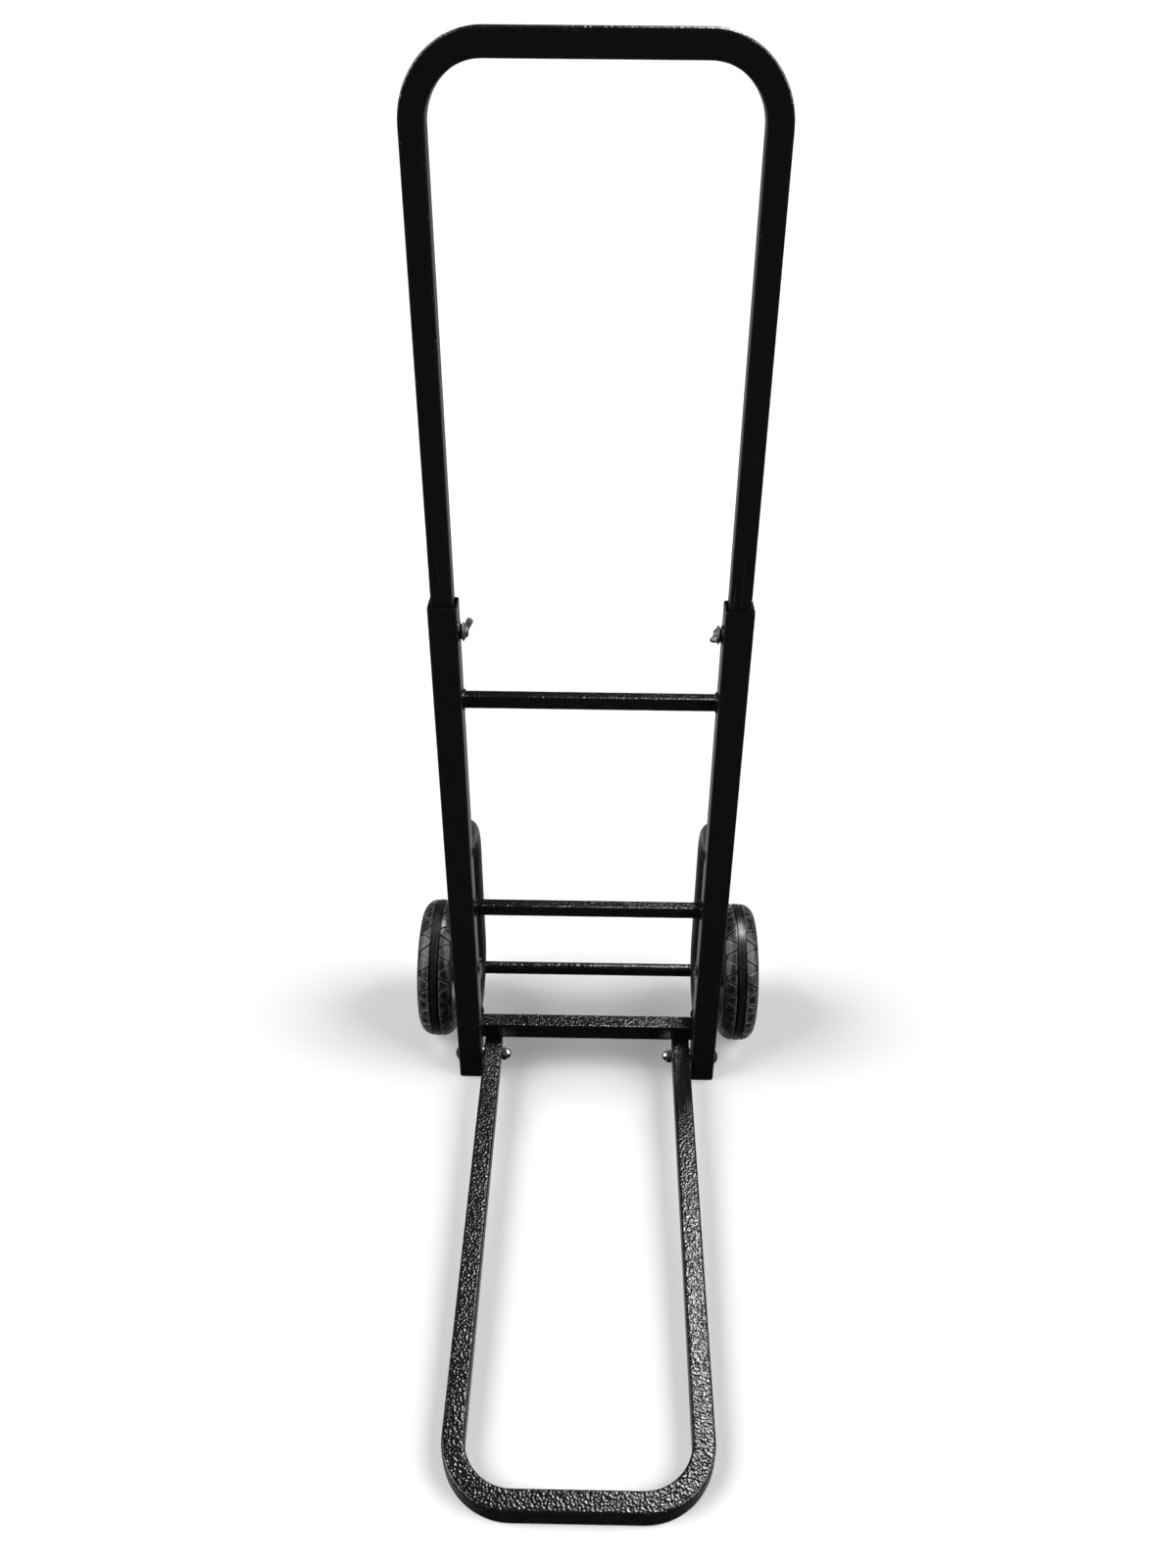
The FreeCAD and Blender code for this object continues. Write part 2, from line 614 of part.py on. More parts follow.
def build_frame():
    """Weldment: rails, crossbars, stop bar, axle brackets and axle, with the foot caps."""
    gap = f"({S}frame_width - 2 * {S}rail_side)"
    for side, sign, turn in SIDES:
        x = f"{sign} * {RAIL_X}"
        place(rail("rail_" + side), "rail_" + side, x, RAIL_MIDDLE, "0", turn)
        foot = plug("foot_cap_" + side, S + "rail_side", S + "foot_thickness",
                    S + "rail_corner", f"{RAIL_BORE} - 2 * {S}plug_gap",
                    f"{S}rail_corner - {S}rail_wall",
                    f"{S}pivot_height - {S}screw_diameter / 2 - {S}foot_thickness"
                    f" - {S}foot_plug_clear")
        place(foot, "foot_cap_" + side, x, RAIL_MIDDLE)
        place(axle_bracket("axle_bracket_" + side), "axle_bracket_" + side, x)
        place(clamp_nut("clamp_nut_" + side), "clamp_nut_" + side,
              f"{sign} * {gap} / 2", RAIL_MIDDLE, CLAMP_HEIGHT, turn)
    bar_y = f"{S}rail_side - {S}crossbar_side / 2"
    for level, height in (("upper", f"{S}rail_top - {S}crossbar_upper_drop"),
                          ("middle", S + "crossbar_middle_height")):
        bar = straight_bar("crossbar_" + level, S + "crossbar_side", S + "crossbar_wall",
                           S + "crossbar_corner", gap)
        place(bar, "crossbar_" + level, "0", bar_y, height)
    stop = straight_bar("stop_bar", S + "stop_side", S + "stop_wall", S + "tube_corner",
                        f"{S}frame_width - 2 * {S}stop_inset")
    place(stop, "stop_bar", "0", f"{S}rail_side + {S}stop_side / 2",
          f"{STOP_BOTTOM} + {S}stop_side / 2")
    place(axle(), "axle", "0", AXLE_Y, AXLE_Z)


def build_handle():
    """The telescoping handle, the glides in its feet and the two wing screws."""
    place(handle_loop(), "handle_loop", "0", RAIL_MIDDLE)
    for side, sign, _ in SIDES:
        glide = plug("handle_glide_" + side, f"{RAIL_BORE} - 2 * {S}glide_gap",
                     S + "glide_thickness", f"{S}rail_corner - {S}rail_wall",
                     f"{HANDLE_SIDE} - 2 * {S}handle_wall - 2 * {S}plug_gap",
                     f"{S}tube_corner - {S}handle_wall", S + "glide_insert")
        place(glide, "handle_glide_" + side, f"{sign} * {RAIL_X}", RAIL_MIDDLE,
              f"{LEG_FOOT} - {S}glide_thickness")
        place(wing_screw("wing_screw_" + side), "wing_screw_" + side,
              f"{sign} * ({S}frame_width / 2 - {S}rail_side)", RAIL_MIDDLE,
              CLAMP_HEIGHT, WING_TURN[side])


def droop(piece, extra):
    """Tilt a piece of the nose about X, so that its front bar lies on the floor."""
    piece.Placement = FreeCAD.Placement(piece.Placement.Base, Vector(1, 0, 0), 1)
    piece.setExpression("Placement.Rotation.Angle", f"{DROOP} + {extra} deg")


def build_nose():
    """The folding nose with its plugs, and the bolts, spacers and nuts of its pivot."""
    nose = nose_loop()
    place(nose, "nose_loop", "0", RAIL_MIDDLE, S + "pivot_height")
    droop(nose, 0)
    arm_inside = f"({ARM_X} - {S}nose_side / 2)"
    arm_outside = f"({ARM_X} + {S}nose_side / 2)"
    for side, sign, _ in SIDES:
        end_plug = plug("nose_plug_" + side, S + "nose_side", S + "nose_plug_plate",
                        S + "tube_corner",
                        f"{S}nose_side - 2 * {S}nose_wall - 2 * {S}plug_gap",
                        f"{S}tube_corner - {S}nose_wall",
                        f"{S}nose_rear - {S}nose_plug_plate - {S}screw_diameter / 2"
                        f" - {S}nose_plug_clear")
        place(end_plug, "nose_plug_" + side, f"{sign} * {ARM_X}",
              f"{RAIL_MIDDLE} + {S}nose_rear * cos({DROOP})",
              f"{S}pivot_height + {S}nose_rear * sin({DROOP})")
        droop(end_plug, 90)
        outward = OUTWARD[side]
        spacer = ring("pivot_spacer_" + side, "0", S + "pivot_spacer", SCREW_BORE,
                      S + "spacer_radius")
        place(spacer, "pivot_spacer_" + side, f"{sign} * {arm_outside}", RAIL_MIDDLE,
              S + "pivot_height", outward)
        place(pivot_bolt("pivot_bolt_" + side), "pivot_bolt_" + side,
              f"{sign} * {S}frame_width / 2", RAIL_MIDDLE, S + "pivot_height", outward)
        place(acorn_nut("pivot_nut_" + side), "pivot_nut_" + side,
              f"{sign} * ({arm_inside} - {S}side_gap)", RAIL_MIDDLE, S + "pivot_height",
              outward)


def on_axle(piece, name, side, along="0"):
    """Put a piece on the axle's line, so far outwards from the middle of its side's wheel."""
    sign = {"left": -1, "right": 1}[side]
    place(piece, f"{name}_{side}", f"{sign} * ({WHEEL_X} + {along})", AXLE_Y, AXLE_Z,
          OUTWARD[side])


def build_wheels():
    """Both wheels, and what holds each of them on the axle."""
    washer = ("0", S + "washer_thickness", WASHER_BORE, S + "washer_radius")
    inner = f"(-{INNER_FACE} - {S}side_gap - {S}washer_thickness)"
    outer = f"({OUTER_FACE} + {S}side_gap)"
    for side in ("left", "right"):
        on_axle(tyre("tyre_" + side), "tyre", side)
        on_axle(wheel_core("wheel_core_" + side), "wheel_core", side)
        sleeve = bushing("bushing_inner_" + side, f"(-{S}hub_inner)", "+")
        on_axle(sleeve, "bushing_inner", side)
        sleeve = bushing("bushing_outer_" + side, S + "hub_outer", "-")
        on_axle(sleeve, "bushing_outer", side)
        on_axle(ring("axle_washer_inner_" + side, *washer), "axle_washer_inner", side, inner)
        on_axle(ring("axle_washer_outer_" + side, *washer), "axle_washer_outer", side, outer)
        collar = ring("axle_collar_" + side, "0", S + "collar_width", WASHER_BORE,
                      S + "collar_radius")
        on_axle(collar, "axle_collar", side, f"(-{COLLAR_START})")
        on_axle(axle_cap("axle_cap_" + side), "axle_cap", side,
                f"({outer} + {S}washer_thickness)")


build_frame()
build_handle()
build_nose()
build_wheels()
doc.recompute()

broken = [item.Label for item in doc.Objects if {"Invalid", "Error"} & set(item.State)]
for piece in parts:
    if piece.Shape.isNull() or not piece.Shape.isValid() or not piece.Shape.Solids:
        broken.append(piece.Label)
if broken:
    raise RuntimeError("these did not build: " + ", ".join(broken))

os.makedirs("parts", exist_ok=True)
for piece in parts:
    piece.Shape.exportStep(f"parts/{piece.Label}.step")
print(len(parts), "sub-parts written")
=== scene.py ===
"""Looks of a folding hand truck of bent and welded square tube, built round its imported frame."""

import logging
import math
from dataclasses import dataclass, field
from enum import Enum
from typing import Callable, Dict, List, Optional, Sequence, Tuple

import bmesh
import bpy
from mathutils import Matrix, Vector


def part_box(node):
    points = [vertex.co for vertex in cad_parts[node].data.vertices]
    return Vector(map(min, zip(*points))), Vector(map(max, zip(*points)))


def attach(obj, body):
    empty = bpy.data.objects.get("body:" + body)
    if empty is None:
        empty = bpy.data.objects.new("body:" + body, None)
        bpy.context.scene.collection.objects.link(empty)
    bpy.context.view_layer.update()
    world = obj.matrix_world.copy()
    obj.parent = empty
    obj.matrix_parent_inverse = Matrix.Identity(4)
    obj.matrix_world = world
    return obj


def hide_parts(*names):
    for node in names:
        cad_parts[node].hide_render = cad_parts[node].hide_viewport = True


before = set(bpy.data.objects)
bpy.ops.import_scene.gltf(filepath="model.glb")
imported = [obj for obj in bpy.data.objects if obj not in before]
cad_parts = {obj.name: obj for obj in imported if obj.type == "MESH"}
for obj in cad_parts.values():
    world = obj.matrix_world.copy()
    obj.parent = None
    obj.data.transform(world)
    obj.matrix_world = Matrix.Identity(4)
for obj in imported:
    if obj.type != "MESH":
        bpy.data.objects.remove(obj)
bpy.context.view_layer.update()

LOG = logging.getLogger("hand_truck")
MM = 0.001
FULL_TURN = 2 * math.pi
X_AXIS = Vector((1, 0, 0))
Y_AXIS = Vector((0, 1, 0))
Z_AXIS = Vector((0, 0, 1))

Pair = Tuple[float, float]
Triple = Tuple[float, float, float]


class Side(Enum):
    """The two sides of the truck, with the sign of their x."""

    LEFT = -1
    RIGHT = 1

    @property
    def word(self) -> str:
        """Return the side's name as it ends a node's name."""
        return self.name.lower()


class Slot(Enum):
    """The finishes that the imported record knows."""

    ENAMEL = "black_enamel"
    CAP = "cap_plastic"
    NYLON = "nylon"
    OXIDE = "black_oxide"
    DARK_ZINC = "dark_zinc"
    BRIGHT_ZINC = "bright_zinc"
    RUBBER = "tyre_rubber"
    CORE = "core_plastic"


class Block:
    """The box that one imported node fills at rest."""

    def __init__(self, node: str) -> None:
        """Read the node's lowest and highest corners."""
        self.low, self.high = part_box(node)
        self.centre = (self.low + self.high) / 2
        self.size = self.high - self.low


def outer_x(block: Block) -> float:
    """Return how far a block reaches from the truck's middle plane, to either side."""
    return max(abs(block.low.x), abs(block.high.x))


def at_x(side: Side, reach: float, centre: Vector) -> Vector:
    """Return the point level with centre that lies reach out on one side."""
    return Vector((side.value * reach, centre.y, centre.z))


# ---------------------------------------------------------------------------------------------
# Shader writing


class Signal:
    """A shader socket that carries numbers; arithmetic on it adds Math nodes."""

    def __init__(self, shader: "Shader", socket: bpy.types.NodeSocket) -> None:
        """Keep the shader that owns the socket."""
        self.shader = shader
        self.socket = socket

    def _maths(self, operation: str, *values: object) -> "Signal":
        """Add one Math node.

        Args:
            operation: The Math node's operation.
            values: Its inputs, in order: signals or numbers.

        Returns:
            The node's result.
        """
        return self.shader.node("ShaderNodeMath", {"operation": operation},
                                dict(enumerate(values)))

    def __add__(self, other: object) -> "Signal":
        """Return self + other."""
        return self._maths("ADD", self, other)

    __radd__ = __add__

    def __sub__(self, other: object) -> "Signal":
        """Return self - other."""
        return self._maths("SUBTRACT", self, other)

    def __rsub__(self, other: object) -> "Signal":
        """Return other - self."""
        return self._maths("SUBTRACT", other, self)

    def __mul__(self, other: object) -> "Signal":
        """Return self * other."""
        return self._maths("MULTIPLY", self, other)

    __rmul__ = __mul__

    def sine(self) -> "Signal":
        """Return the sine of self."""
        return self._maths("SINE", self)

    def ramp(self, low: float, high: float, start: float = 0.0, end: float = 1.0) -> "Signal":
        """Map low..high smoothly to start..end, and hold it there.

        Args:
            low: The value that gives start.
            high: The value that gives end.
            start: The result at and before low.
            end: The result at and past high.

        Returns:
            The mapped signal.
        """
        settings = {"interpolation_type": "SMOOTHSTEP", "clamp": True}
        inputs = {"Value": self, "From Min": low, "From Max": high, "To Min": start,
                  "To Max": end}
        return self.shader.node("ShaderNodeMapRange", settings, inputs)


class Shader:
    """A material under construction, with a short way to add each node."""

    def __init__(self, name: str) -> None:
        """Start an empty material of that name."""
        self.material = bpy.data.materials.new(name)
        self.material.use_nodes = True
        self.tree = self.material.node_tree
        self.tree.nodes.clear()

    def node(self, kind: str, settings: Optional[dict] = None,
             inputs: Optional[dict] = None, output: object = 0) -> Signal:
        """Add one node.

        Args:
            kind: The node's type.
            settings: Its properties, set before its sockets.
            inputs: A signal or a value for each input, by name or number.
            output: The output wanted, by name or number.

        Returns:
            That output.
        """
        made = self.tree.nodes.new(kind)
        for name, choice in (settings or {}).items():
            setattr(made, name, choice)
        for key, given in (inputs or {}).items():
            if isinstance(given, Signal):
                self.tree.links.new(given.socket, made.inputs[key])
            else:
                made.inputs[key].default_value = given
        return Signal(self, made.outputs[output])

    def place(self, centre: Sequence[float] = (0, 0, 0),
              scale: Sequence[float] = (1, 1, 1)) -> Signal:
        """Return Object coordinates measured from centre, then scaled.

        Args:
            centre: The point that becomes the pattern's origin.
            scale: How much each axis is stretched.

        Returns:
            The coordinates.
        """
        coords = self.node("ShaderNodeTexCoord", output="Object")
        moved = self.node("ShaderNodeVectorMath", {"operation": "SUBTRACT"},
                          {0: coords, 1: tuple(centre)})
        return self.node("ShaderNodeVectorMath", {"operation": "MULTIPLY"},
                         {0: moved, 1: tuple(scale)})

    def noise(self, where: Signal, scale: float, detail: float = 2.0,
              roughness: float = 0.5) -> Signal:
        """Return a noise field of about `scale` lumps a metre, between 0 and 1."""
        return self.node("ShaderNodeTexNoise", None,
                         {"Vector": where, "Scale": scale, "Detail": detail,
                          "Roughness": roughness})

    def cells(self, where: Signal, scale: float) -> Signal:
        """Return smooth cells: the distance from the nearest of `scale` points a metre."""
        return self.node("ShaderNodeTexVoronoi", {"feature": "SMOOTH_F1"},
                         {"Vector": where, "Scale": scale, "Smoothness": 0.6})

    def axis(self, where: Signal, letter: str) -> Signal:
        """Return one coordinate of a vector."""
        return self.node("ShaderNodeSeparateXYZ", None, {0: where}, letter)

    def distance_from_axle(self, centre: Sequence[float]) -> Signal:
        """Return the distance from the line through centre along X."""
        flat = self.place(centre, (0, 1, 1))
        return self.node("ShaderNodeVectorMath", {"operation": "LENGTH"}, {0: flat}, "Value")

    def attribute(self, name: str) -> Signal:
        """Return a number stored on the mesh."""
        return self.node("ShaderNodeAttribute", {"attribute_name": name}, None, "Fac")

    def blend(self, mask: Signal, low: object, high: object) -> Signal:
        """Mix two colours.

        Args:
            mask: How much of the second colour shows.
            low: The colour, or signal, where mask is 0.
            high: The colour, or signal, where mask is 1.

        Returns:
            The mixed colour.
        """
        first, second = (c if isinstance(c, Signal) else (*c, 1.0) for c in (low, high))
        return self.node("ShaderNodeMix", {"data_type": "RGBA"},
                         {0: mask, 6: first, 7: second}, 2)

    def bump(self, height: Signal, depth: float, strength: float = 1.0,
             below: Optional[Signal] = None) -> Signal:
        """Turn a height into a normal.

        Args:
            height: The height, from 0 to 1.
            depth: What a height of 1 stands for, in metres.
            strength: How much of it shows.
            below: A normal that this one is laid on.

        Returns:
            The normal.
        """
        inputs = {"Height": height, "Distance": depth, "Strength": strength}
        if below:
            inputs["Normal"] = below
        return self.node("ShaderNodeBump", None, inputs)

    def finish(self, inputs: dict) -> bpy.types.Material:
        """Add the surface with these inputs and return the material."""
        surface = self.node("ShaderNodeBsdfPrincipled", None, inputs)
        output = self.tree.nodes.new("ShaderNodeOutputMaterial")
        self.tree.links.new(surface.socket, output.inputs["Surface"])
        return self.material


# ---------------------------------------------------------------------------------------------
# Finishes


@dataclass(frozen=True)
class Enamel:
    """What the truck's gloss black enamels share; it dried in small dimples."""

    name: str
    pit_strength: float
    swell_depth: float
    swell_strength: float
    slot: Slot = Slot.ENAMEL
    pits_per_metre: float = 440.0
    pit_depth: float = 0.60 * MM
    grain_depth: float = 0.06 * MM
    black: Triple = (0.0045, 0.0048, 0.0052)
    bare_steel: Triple = (0.21, 0.20, 0.19)
    shine: float = 0.42

    def rubbed(self, s: Shader, here: Signal, patches: Signal, low: float,
               high: float) -> Signal:
        """Show where the paint is rubbed thin on the tubes' corners.

        Args:
            s: The material under construction.
            here: Where the surface lies.
            patches: The field that gathers the wear in places.
            low: The value of patches at which wear begins.
            high: The value at which it is full.

        Returns:
            1 where the paint is gone, 0 where it is whole.
        """
        nicks = s.noise(here, 340.0, 3.0, 0.7)
        return s.attribute("edge") * nicks.ramp(0.60, 0.72) * patches.ramp(low, high)

    def coat(self, s: Shader, here: Signal, colour: Signal, rough: Signal,
             grain: Signal) -> bpy.types.Material:
        """Lay the dimples, the slow swell and the fine grain, and end the material.

        Args:
            s: The material under construction.
            here: Where the surface lies.
            colour: Its colour.
            rough: Its roughness.
            grain: The fine grain's field.

        Returns:
            The material.
        """
        pits = s.cells(here, self.pits_per_metre)
        swell = s.noise(here, 190.0, 2.0)
        dimples = s.bump(pits, self.pit_depth, self.pit_strength)
        dimples = s.bump(swell, self.swell_depth, self.swell_strength, dimples)
        return s.finish({"Base Color": colour, "Roughness": rough,
                         "Normal": s.bump(grain, self.grain_depth, 0.5, dimples),
                         "Specular IOR Level": self.shine})


@dataclass(frozen=True)
class HammeredEnamel(Enamel):
    """The enamel of the frame and nose, chipped and dusty in places."""

    name: str = "hammered_enamel"
    pit_strength: float = 0.75
    swell_depth: float = 0.35 * MM
    swell_strength: float = 0.25
    rub: float = 0.35

    def material(self) -> bpy.types.Material:
        """Build the enamel."""
        s = Shader(self.name)
        here = s.place()
        grain = s.noise(here, 2300.0, 2.0)
        patches = s.noise(here, 26.0, 4.0, 0.6)
        rubbed = self.rubbed(s, here, patches, 0.50, 0.66) * self.rub
        chips = s.noise(here, 88.0, 5.0, 0.75).ramp(0.735, 0.765)
        dust = s.noise(here, 640.0, 3.0, 0.7).ramp(0.60, 0.78) * patches.ramp(0.35, 0.70)
        colour = s.blend(dust * 0.35, self.black, (0.030, 0.030, 0.030))
        colour = s.blend(chips * 0.5, colour, (0.060, 0.062, 0.070))
        colour = s.blend(rubbed, colour, self.bare_steel)
        rough = 0.10 + patches * 0.08 + grain * 0.05 + dust * 0.10 + chips * 0.2 + rubbed * 0.2
        return self.coat(s, here, colour, rough, grain)


@dataclass(frozen=True)
class LegEnamel(Enamel):
    """The same enamel on the handle, with faint drawn marks where its legs slide."""

    name: str = "handle_enamel"
    pit_strength: float = 0.60
    swell_depth: float = 0.3 * MM
    swell_strength: float = 0.2
    slide_top: float = 0.0
    fade: float = 0.05

    def material(self) -> bpy.types.Material:
        """Build the enamel of the handle."""
        s = Shader(self.name)
        here = s.place()
        grain = s.noise(here, 2300.0, 2.0)
        patches = s.noise(here, 22.0, 4.0, 0.6)
        drawn = s.noise(s.place(scale=(1500, 1500, 9)), 1.0, 3.0, 0.6)
        height = s.axis(here, "Z")
        slides = height.ramp(self.slide_top, self.slide_top + self.fade, 1.0, 0.0)
        marks = drawn.ramp(0.60, 0.74) * slides
        rubbed = self.rubbed(s, here, patches, 0.46, 0.64)
        colour = s.blend(marks * 0.4, self.black, (0.075, 0.075, 0.075))
        colour = s.blend(rubbed * 0.35, colour, self.bare_steel)
        rough = 0.15 + patches * 0.10 + grain * 0.06 + marks * 0.16 + rubbed * 0.2
        return self.coat(s, here, colour, rough, grain)


@dataclass(frozen=True)
class TyreRubber:
    """Black rubber, glossier on the crown, with dust down in the grooves and a painted highlight
    along the tread blocks' broken edges.
    """

    centre: Triple
    crown: float
    name: str = "tyre_rubber"
    slot: Slot = Slot.RUBBER

    def material(self) -> bpy.types.Material:
        """Build the rubber."""
        s = Shader(self.name)
        here = s.place()
        radius = s.distance_from_axle(self.centre)
        deep = radius.ramp(self.crown - 3.2 * MM, self.crown - 1.6 * MM, 1.0, 0.0)
        wall = radius.ramp(self.crown - 13 * MM, self.crown - 6 * MM, 1.0, 0.0)
        grit = s.noise(here, 1900.0, 3.0, 0.7)
        mottle = s.noise(here, 120.0, 4.0, 0.65)
        dust = mottle.ramp(0.42, 0.72) * (deep * 0.5 + 0.25)
        rings = (radius * (FULL_TURN / (1.1 * MM))).sine() * wall
        colour = s.blend(dust * 0.6, (0.0060, 0.0063, 0.0070), (0.022, 0.021, 0.020))
        colour = s.blend(grit.ramp(0.66, 0.82) * 0.25, colour, (0.040, 0.040, 0.041))
        # Painted highlight: the tread blocks' broken edges are lightened to a bluish grey in
        # patches, standing in for glints of light along them.
        colour = s.blend(s.attribute("edge") * mottle.ramp(0.30, 0.55), colour,
                         (0.085, 0.090, 0.098))
        rough = 0.24 + mottle * 0.14 + dust * 0.25 + wall * 0.08
        relief = s.bump(rings * 0.5 + 0.5, 0.10 * MM, 0.35)
        relief = s.bump(grit, 0.12 * MM, 0.45, relief)
        return s.finish({"Base Color": colour, "Roughness": rough, "Normal": relief,
                         "Specular IOR Level": 0.45})


@dataclass(frozen=True)
class MouldedPlastic:
    """Fine-textured moulded plastic, a little scuffed."""

    name: str
    slot: Slot
    colour: Triple
    scuffed: Triple
    gloss: float = 0.42

    def material(self) -> bpy.types.Material:
        """Build the plastic."""
        s = Shader(self.name)
        here = s.place()
        spark = s.noise(here, 3000.0, 2.0, 0.6)
        clouds = s.noise(here, 75.0, 4.0, 0.6)
        scratch = s.noise(s.place(scale=(900, 140, 2200)), 1.0, 3.0, 0.7).ramp(0.62, 0.76)
        wear = scratch * clouds.ramp(0.40, 0.65) * 0.5
        colour = s.blend(wear + clouds * 0.12, self.colour, self.scuffed)
        rough = self.gloss + clouds * 0.14 + wear * 0.2
        relief = s.bump(spark, 0.07 * MM, 0.5)
        return s.finish({"Base Color": colour, "Roughness": rough, "Normal": relief})


@dataclass(frozen=True)
class PlatedSteel:
    """Zinc-plated or blackened steel turned on a lathe about an axis along X."""

    name: str
    slot: Slot
    centre: Triple
    colour: Triple
    tarnish: Triple
    gloss: float = 0.16
    metal: float = 1.0

    def material(self) -> bpy.types.Material:
        """Build the plating."""
        s = Shader(self.name)
        here = s.place()
        radius = s.distance_from_axle(self.centre)
        lines = s.noise(s.node("ShaderNodeCombineXYZ", None, {"X": radius * 9000.0}), 1.0, 2.0)
        bloom = s.noise(here, 240.0, 4.0, 0.65)
        spots = s.noise(here, 1300.0, 3.0, 0.7).ramp(0.64, 0.80)
        colour = s.blend(bloom.ramp(0.38, 0.74) * 0.7, self.colour, self.tarnish)
        rough = self.gloss + bloom * 0.16 + lines * 0.08 + spots * 0.15
        relief = s.bump(lines, 0.03 * MM, 0.4)
        relief = s.bump(bloom, 0.08 * MM, 0.3, relief)
        return s.finish({"Base Color": colour, "Roughness": rough, "Normal": relief,
                         "Metallic": self.metal})


@dataclass(frozen=True)
class CastZinc:
    """Dull grey die-cast metal with a tumbled skin."""

    name: str = "cast_zinc"
    slot: Slot = Slot.DARK_ZINC

    def material(self) -> bpy.types.Material:
        """Build the casting's skin."""
        s = Shader(self.name)
        here = s.place()
        skin = s.noise(here, 1500.0, 3.0, 0.65)
        clouds = s.noise(here, 210.0, 4.0, 0.6)
        colour = s.blend(clouds.ramp(0.35, 0.70), (0.155, 0.152, 0.140), (0.085, 0.084, 0.080))
        rough = 0.34 + skin * 0.14 + clouds * 0.12
        relief = s.bump(skin, 0.10 * MM, 0.6)
        return s.finish({"Base Color": colour, "Roughness": rough, "Normal": relief,
                         "Metallic": 0.85})


class Palette:
    """Each finish of the truck, built once and handed out to its pieces."""

    def __init__(self) -> None:
        """Start with nothing built."""
        self.built: Dict[object, bpy.types.Material] = {}

    def of(self, finish: object) -> bpy.types.Material:
        """Return the material of a finish, built when first asked for."""
        if finish not in self.built:
            self.built[finish] = finish.material()
        return self.built[finish]


PALETTE = Palette()
ENAMEL = HammeredEnamel()
CAST = CastZinc()
FOOT_PLASTIC = MouldedPlastic("cap_plastic", Slot.CAP, (0.012, 0.012, 0.013),
                              (0.060, 0.058, 0.055))
CORE_PLASTIC = MouldedPlastic("core_plastic", Slot.CORE, (0.011, 0.011, 0.012),
                              (0.045, 0.045, 0.045), 0.38)
GREY_NYLON = MouldedPlastic("grey_nylon", Slot.NYLON, (0.30, 0.295, 0.28),
                            (0.20, 0.195, 0.18), 0.48)


# ---------------------------------------------------------------------------------------------
# Mesh writing


def rounded(corners: Sequence[Triple], closed: bool = True, steps: int = 4) -> List[Pair]:
    """Round the corners of an outline, with a point just before and after each arc.

    Args:
        corners: Each corner and its radius, 0 for a sharp one.
        closed: Whether the last corner joins the first.
        steps: Straight pieces in each arc.

    Returns:
        The outline's points.
    """
    points: List[Pair] = []
    count = len(corners)
    for index, (x, y, radius) in enumerate(corners):
        here = Vector((x, y))
        is_end = not closed and index in (0, count - 1)
        if radius <= 0 or is_end:
            points.append((x, y))
            continue
        back = (Vector(corners[index - 1][:2]) - here).normalized()
        ahead = (Vector(corners[(index + 1) % count][:2]) - here).normalized()
        half = back.angle(ahead) / 2
        reach = radius / math.tan(half)
        centre = here + (back + ahead).normalized() * (radius / math.sin(half))
        start = here + back * reach
        end = here + ahead * reach
        points.append(tuple(start + back * radius * 0.2))
        first, last = start - centre, end - centre
        turn = first.angle_signed(last)
        for step in range(steps + 1):
            arm = Matrix.Rotation(-turn * step / steps, 2) @ first
            points.append(tuple(centre + arm))
        points.append(tuple(end + ahead * radius * 0.2))
    return points


def mesh_of(name: str, points: Sequence[Vector], faces: Sequence[Sequence[int]],
            edge: Optional[Sequence[float]] = None, smooth: float = 32.0) -> bpy.types.Mesh:
    """Make a closed mesh whose faces point outwards.

    Args:
        name: The mesh's name.
        points: Its vertices.
        faces: Their numbers, face by face.
        edge: How much each vertex lies on a corner, kept as the attribute "edge".
        smooth: Shading breaks where two faces meet at more than this angle, in degrees.

    Returns:
        The mesh.
    """
    mesh = bpy.data.meshes.new(name)
    mesh.from_pydata([tuple(p) for p in points], [], [tuple(f) for f in faces])
    rims = mesh.attributes.new("edge", "FLOAT", "POINT")
    rims.data.foreach_set("value", list(edge) if edge else [0.0] * len(points))
    work = bmesh.new()
    work.from_mesh(mesh)
    bmesh.ops.remove_doubles(work, verts=work.verts, dist=1e-7)
    bmesh.ops.recalc_face_normals(work, faces=work.faces)
    work.to_mesh(mesh)
    work.free()
    mesh.shade_smooth()
    mesh.set_sharp_from_angle(angle=math.radians(smooth))
    return mesh


def joined(name: str, meshes: Sequence[bpy.types.Mesh]) -> bpy.types.Mesh:
    """Join meshes that belong to one piece into one mesh."""
    work = bmesh.new()
    for mesh in meshes:
        work.from_mesh(mesh)
    whole = bpy.data.meshes.new(name)
    work.to_mesh(whole)
    work.free()
    return whole


def add_piece(name: str, mesh: bpy.types.Mesh, finish: object, body: str,
              replaces: Sequence[str] = ()) -> bpy.types.Object:
    """Put a mesh in the scene as one piece of the truck.

    Args:
        name: The piece's name.
        mesh: Its mesh, already in its place.
        finish: The finish it wears.
        body: The body that carries it.
        replaces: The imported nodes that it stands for.

    Returns:
        The piece.
    """
    mesh.materials.clear()
    mesh.materials.append(PALETTE.of(finish))
    piece = bpy.data.objects.new(name, mesh)
    bpy.context.scene.collection.objects.link(piece)
    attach(piece, body)
    if replaces:
        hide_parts(*replaces)
    LOG.info("%s: %d faces on %s", name, len(mesh.polygons), body)
    return piece


def dress(node: str, finish: object) -> None:
    """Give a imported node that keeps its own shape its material."""
    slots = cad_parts[node].data.materials
    slots.clear()
    slots.append(PALETTE.of(finish))
    LOG.info("%s: keeps its shape", node)


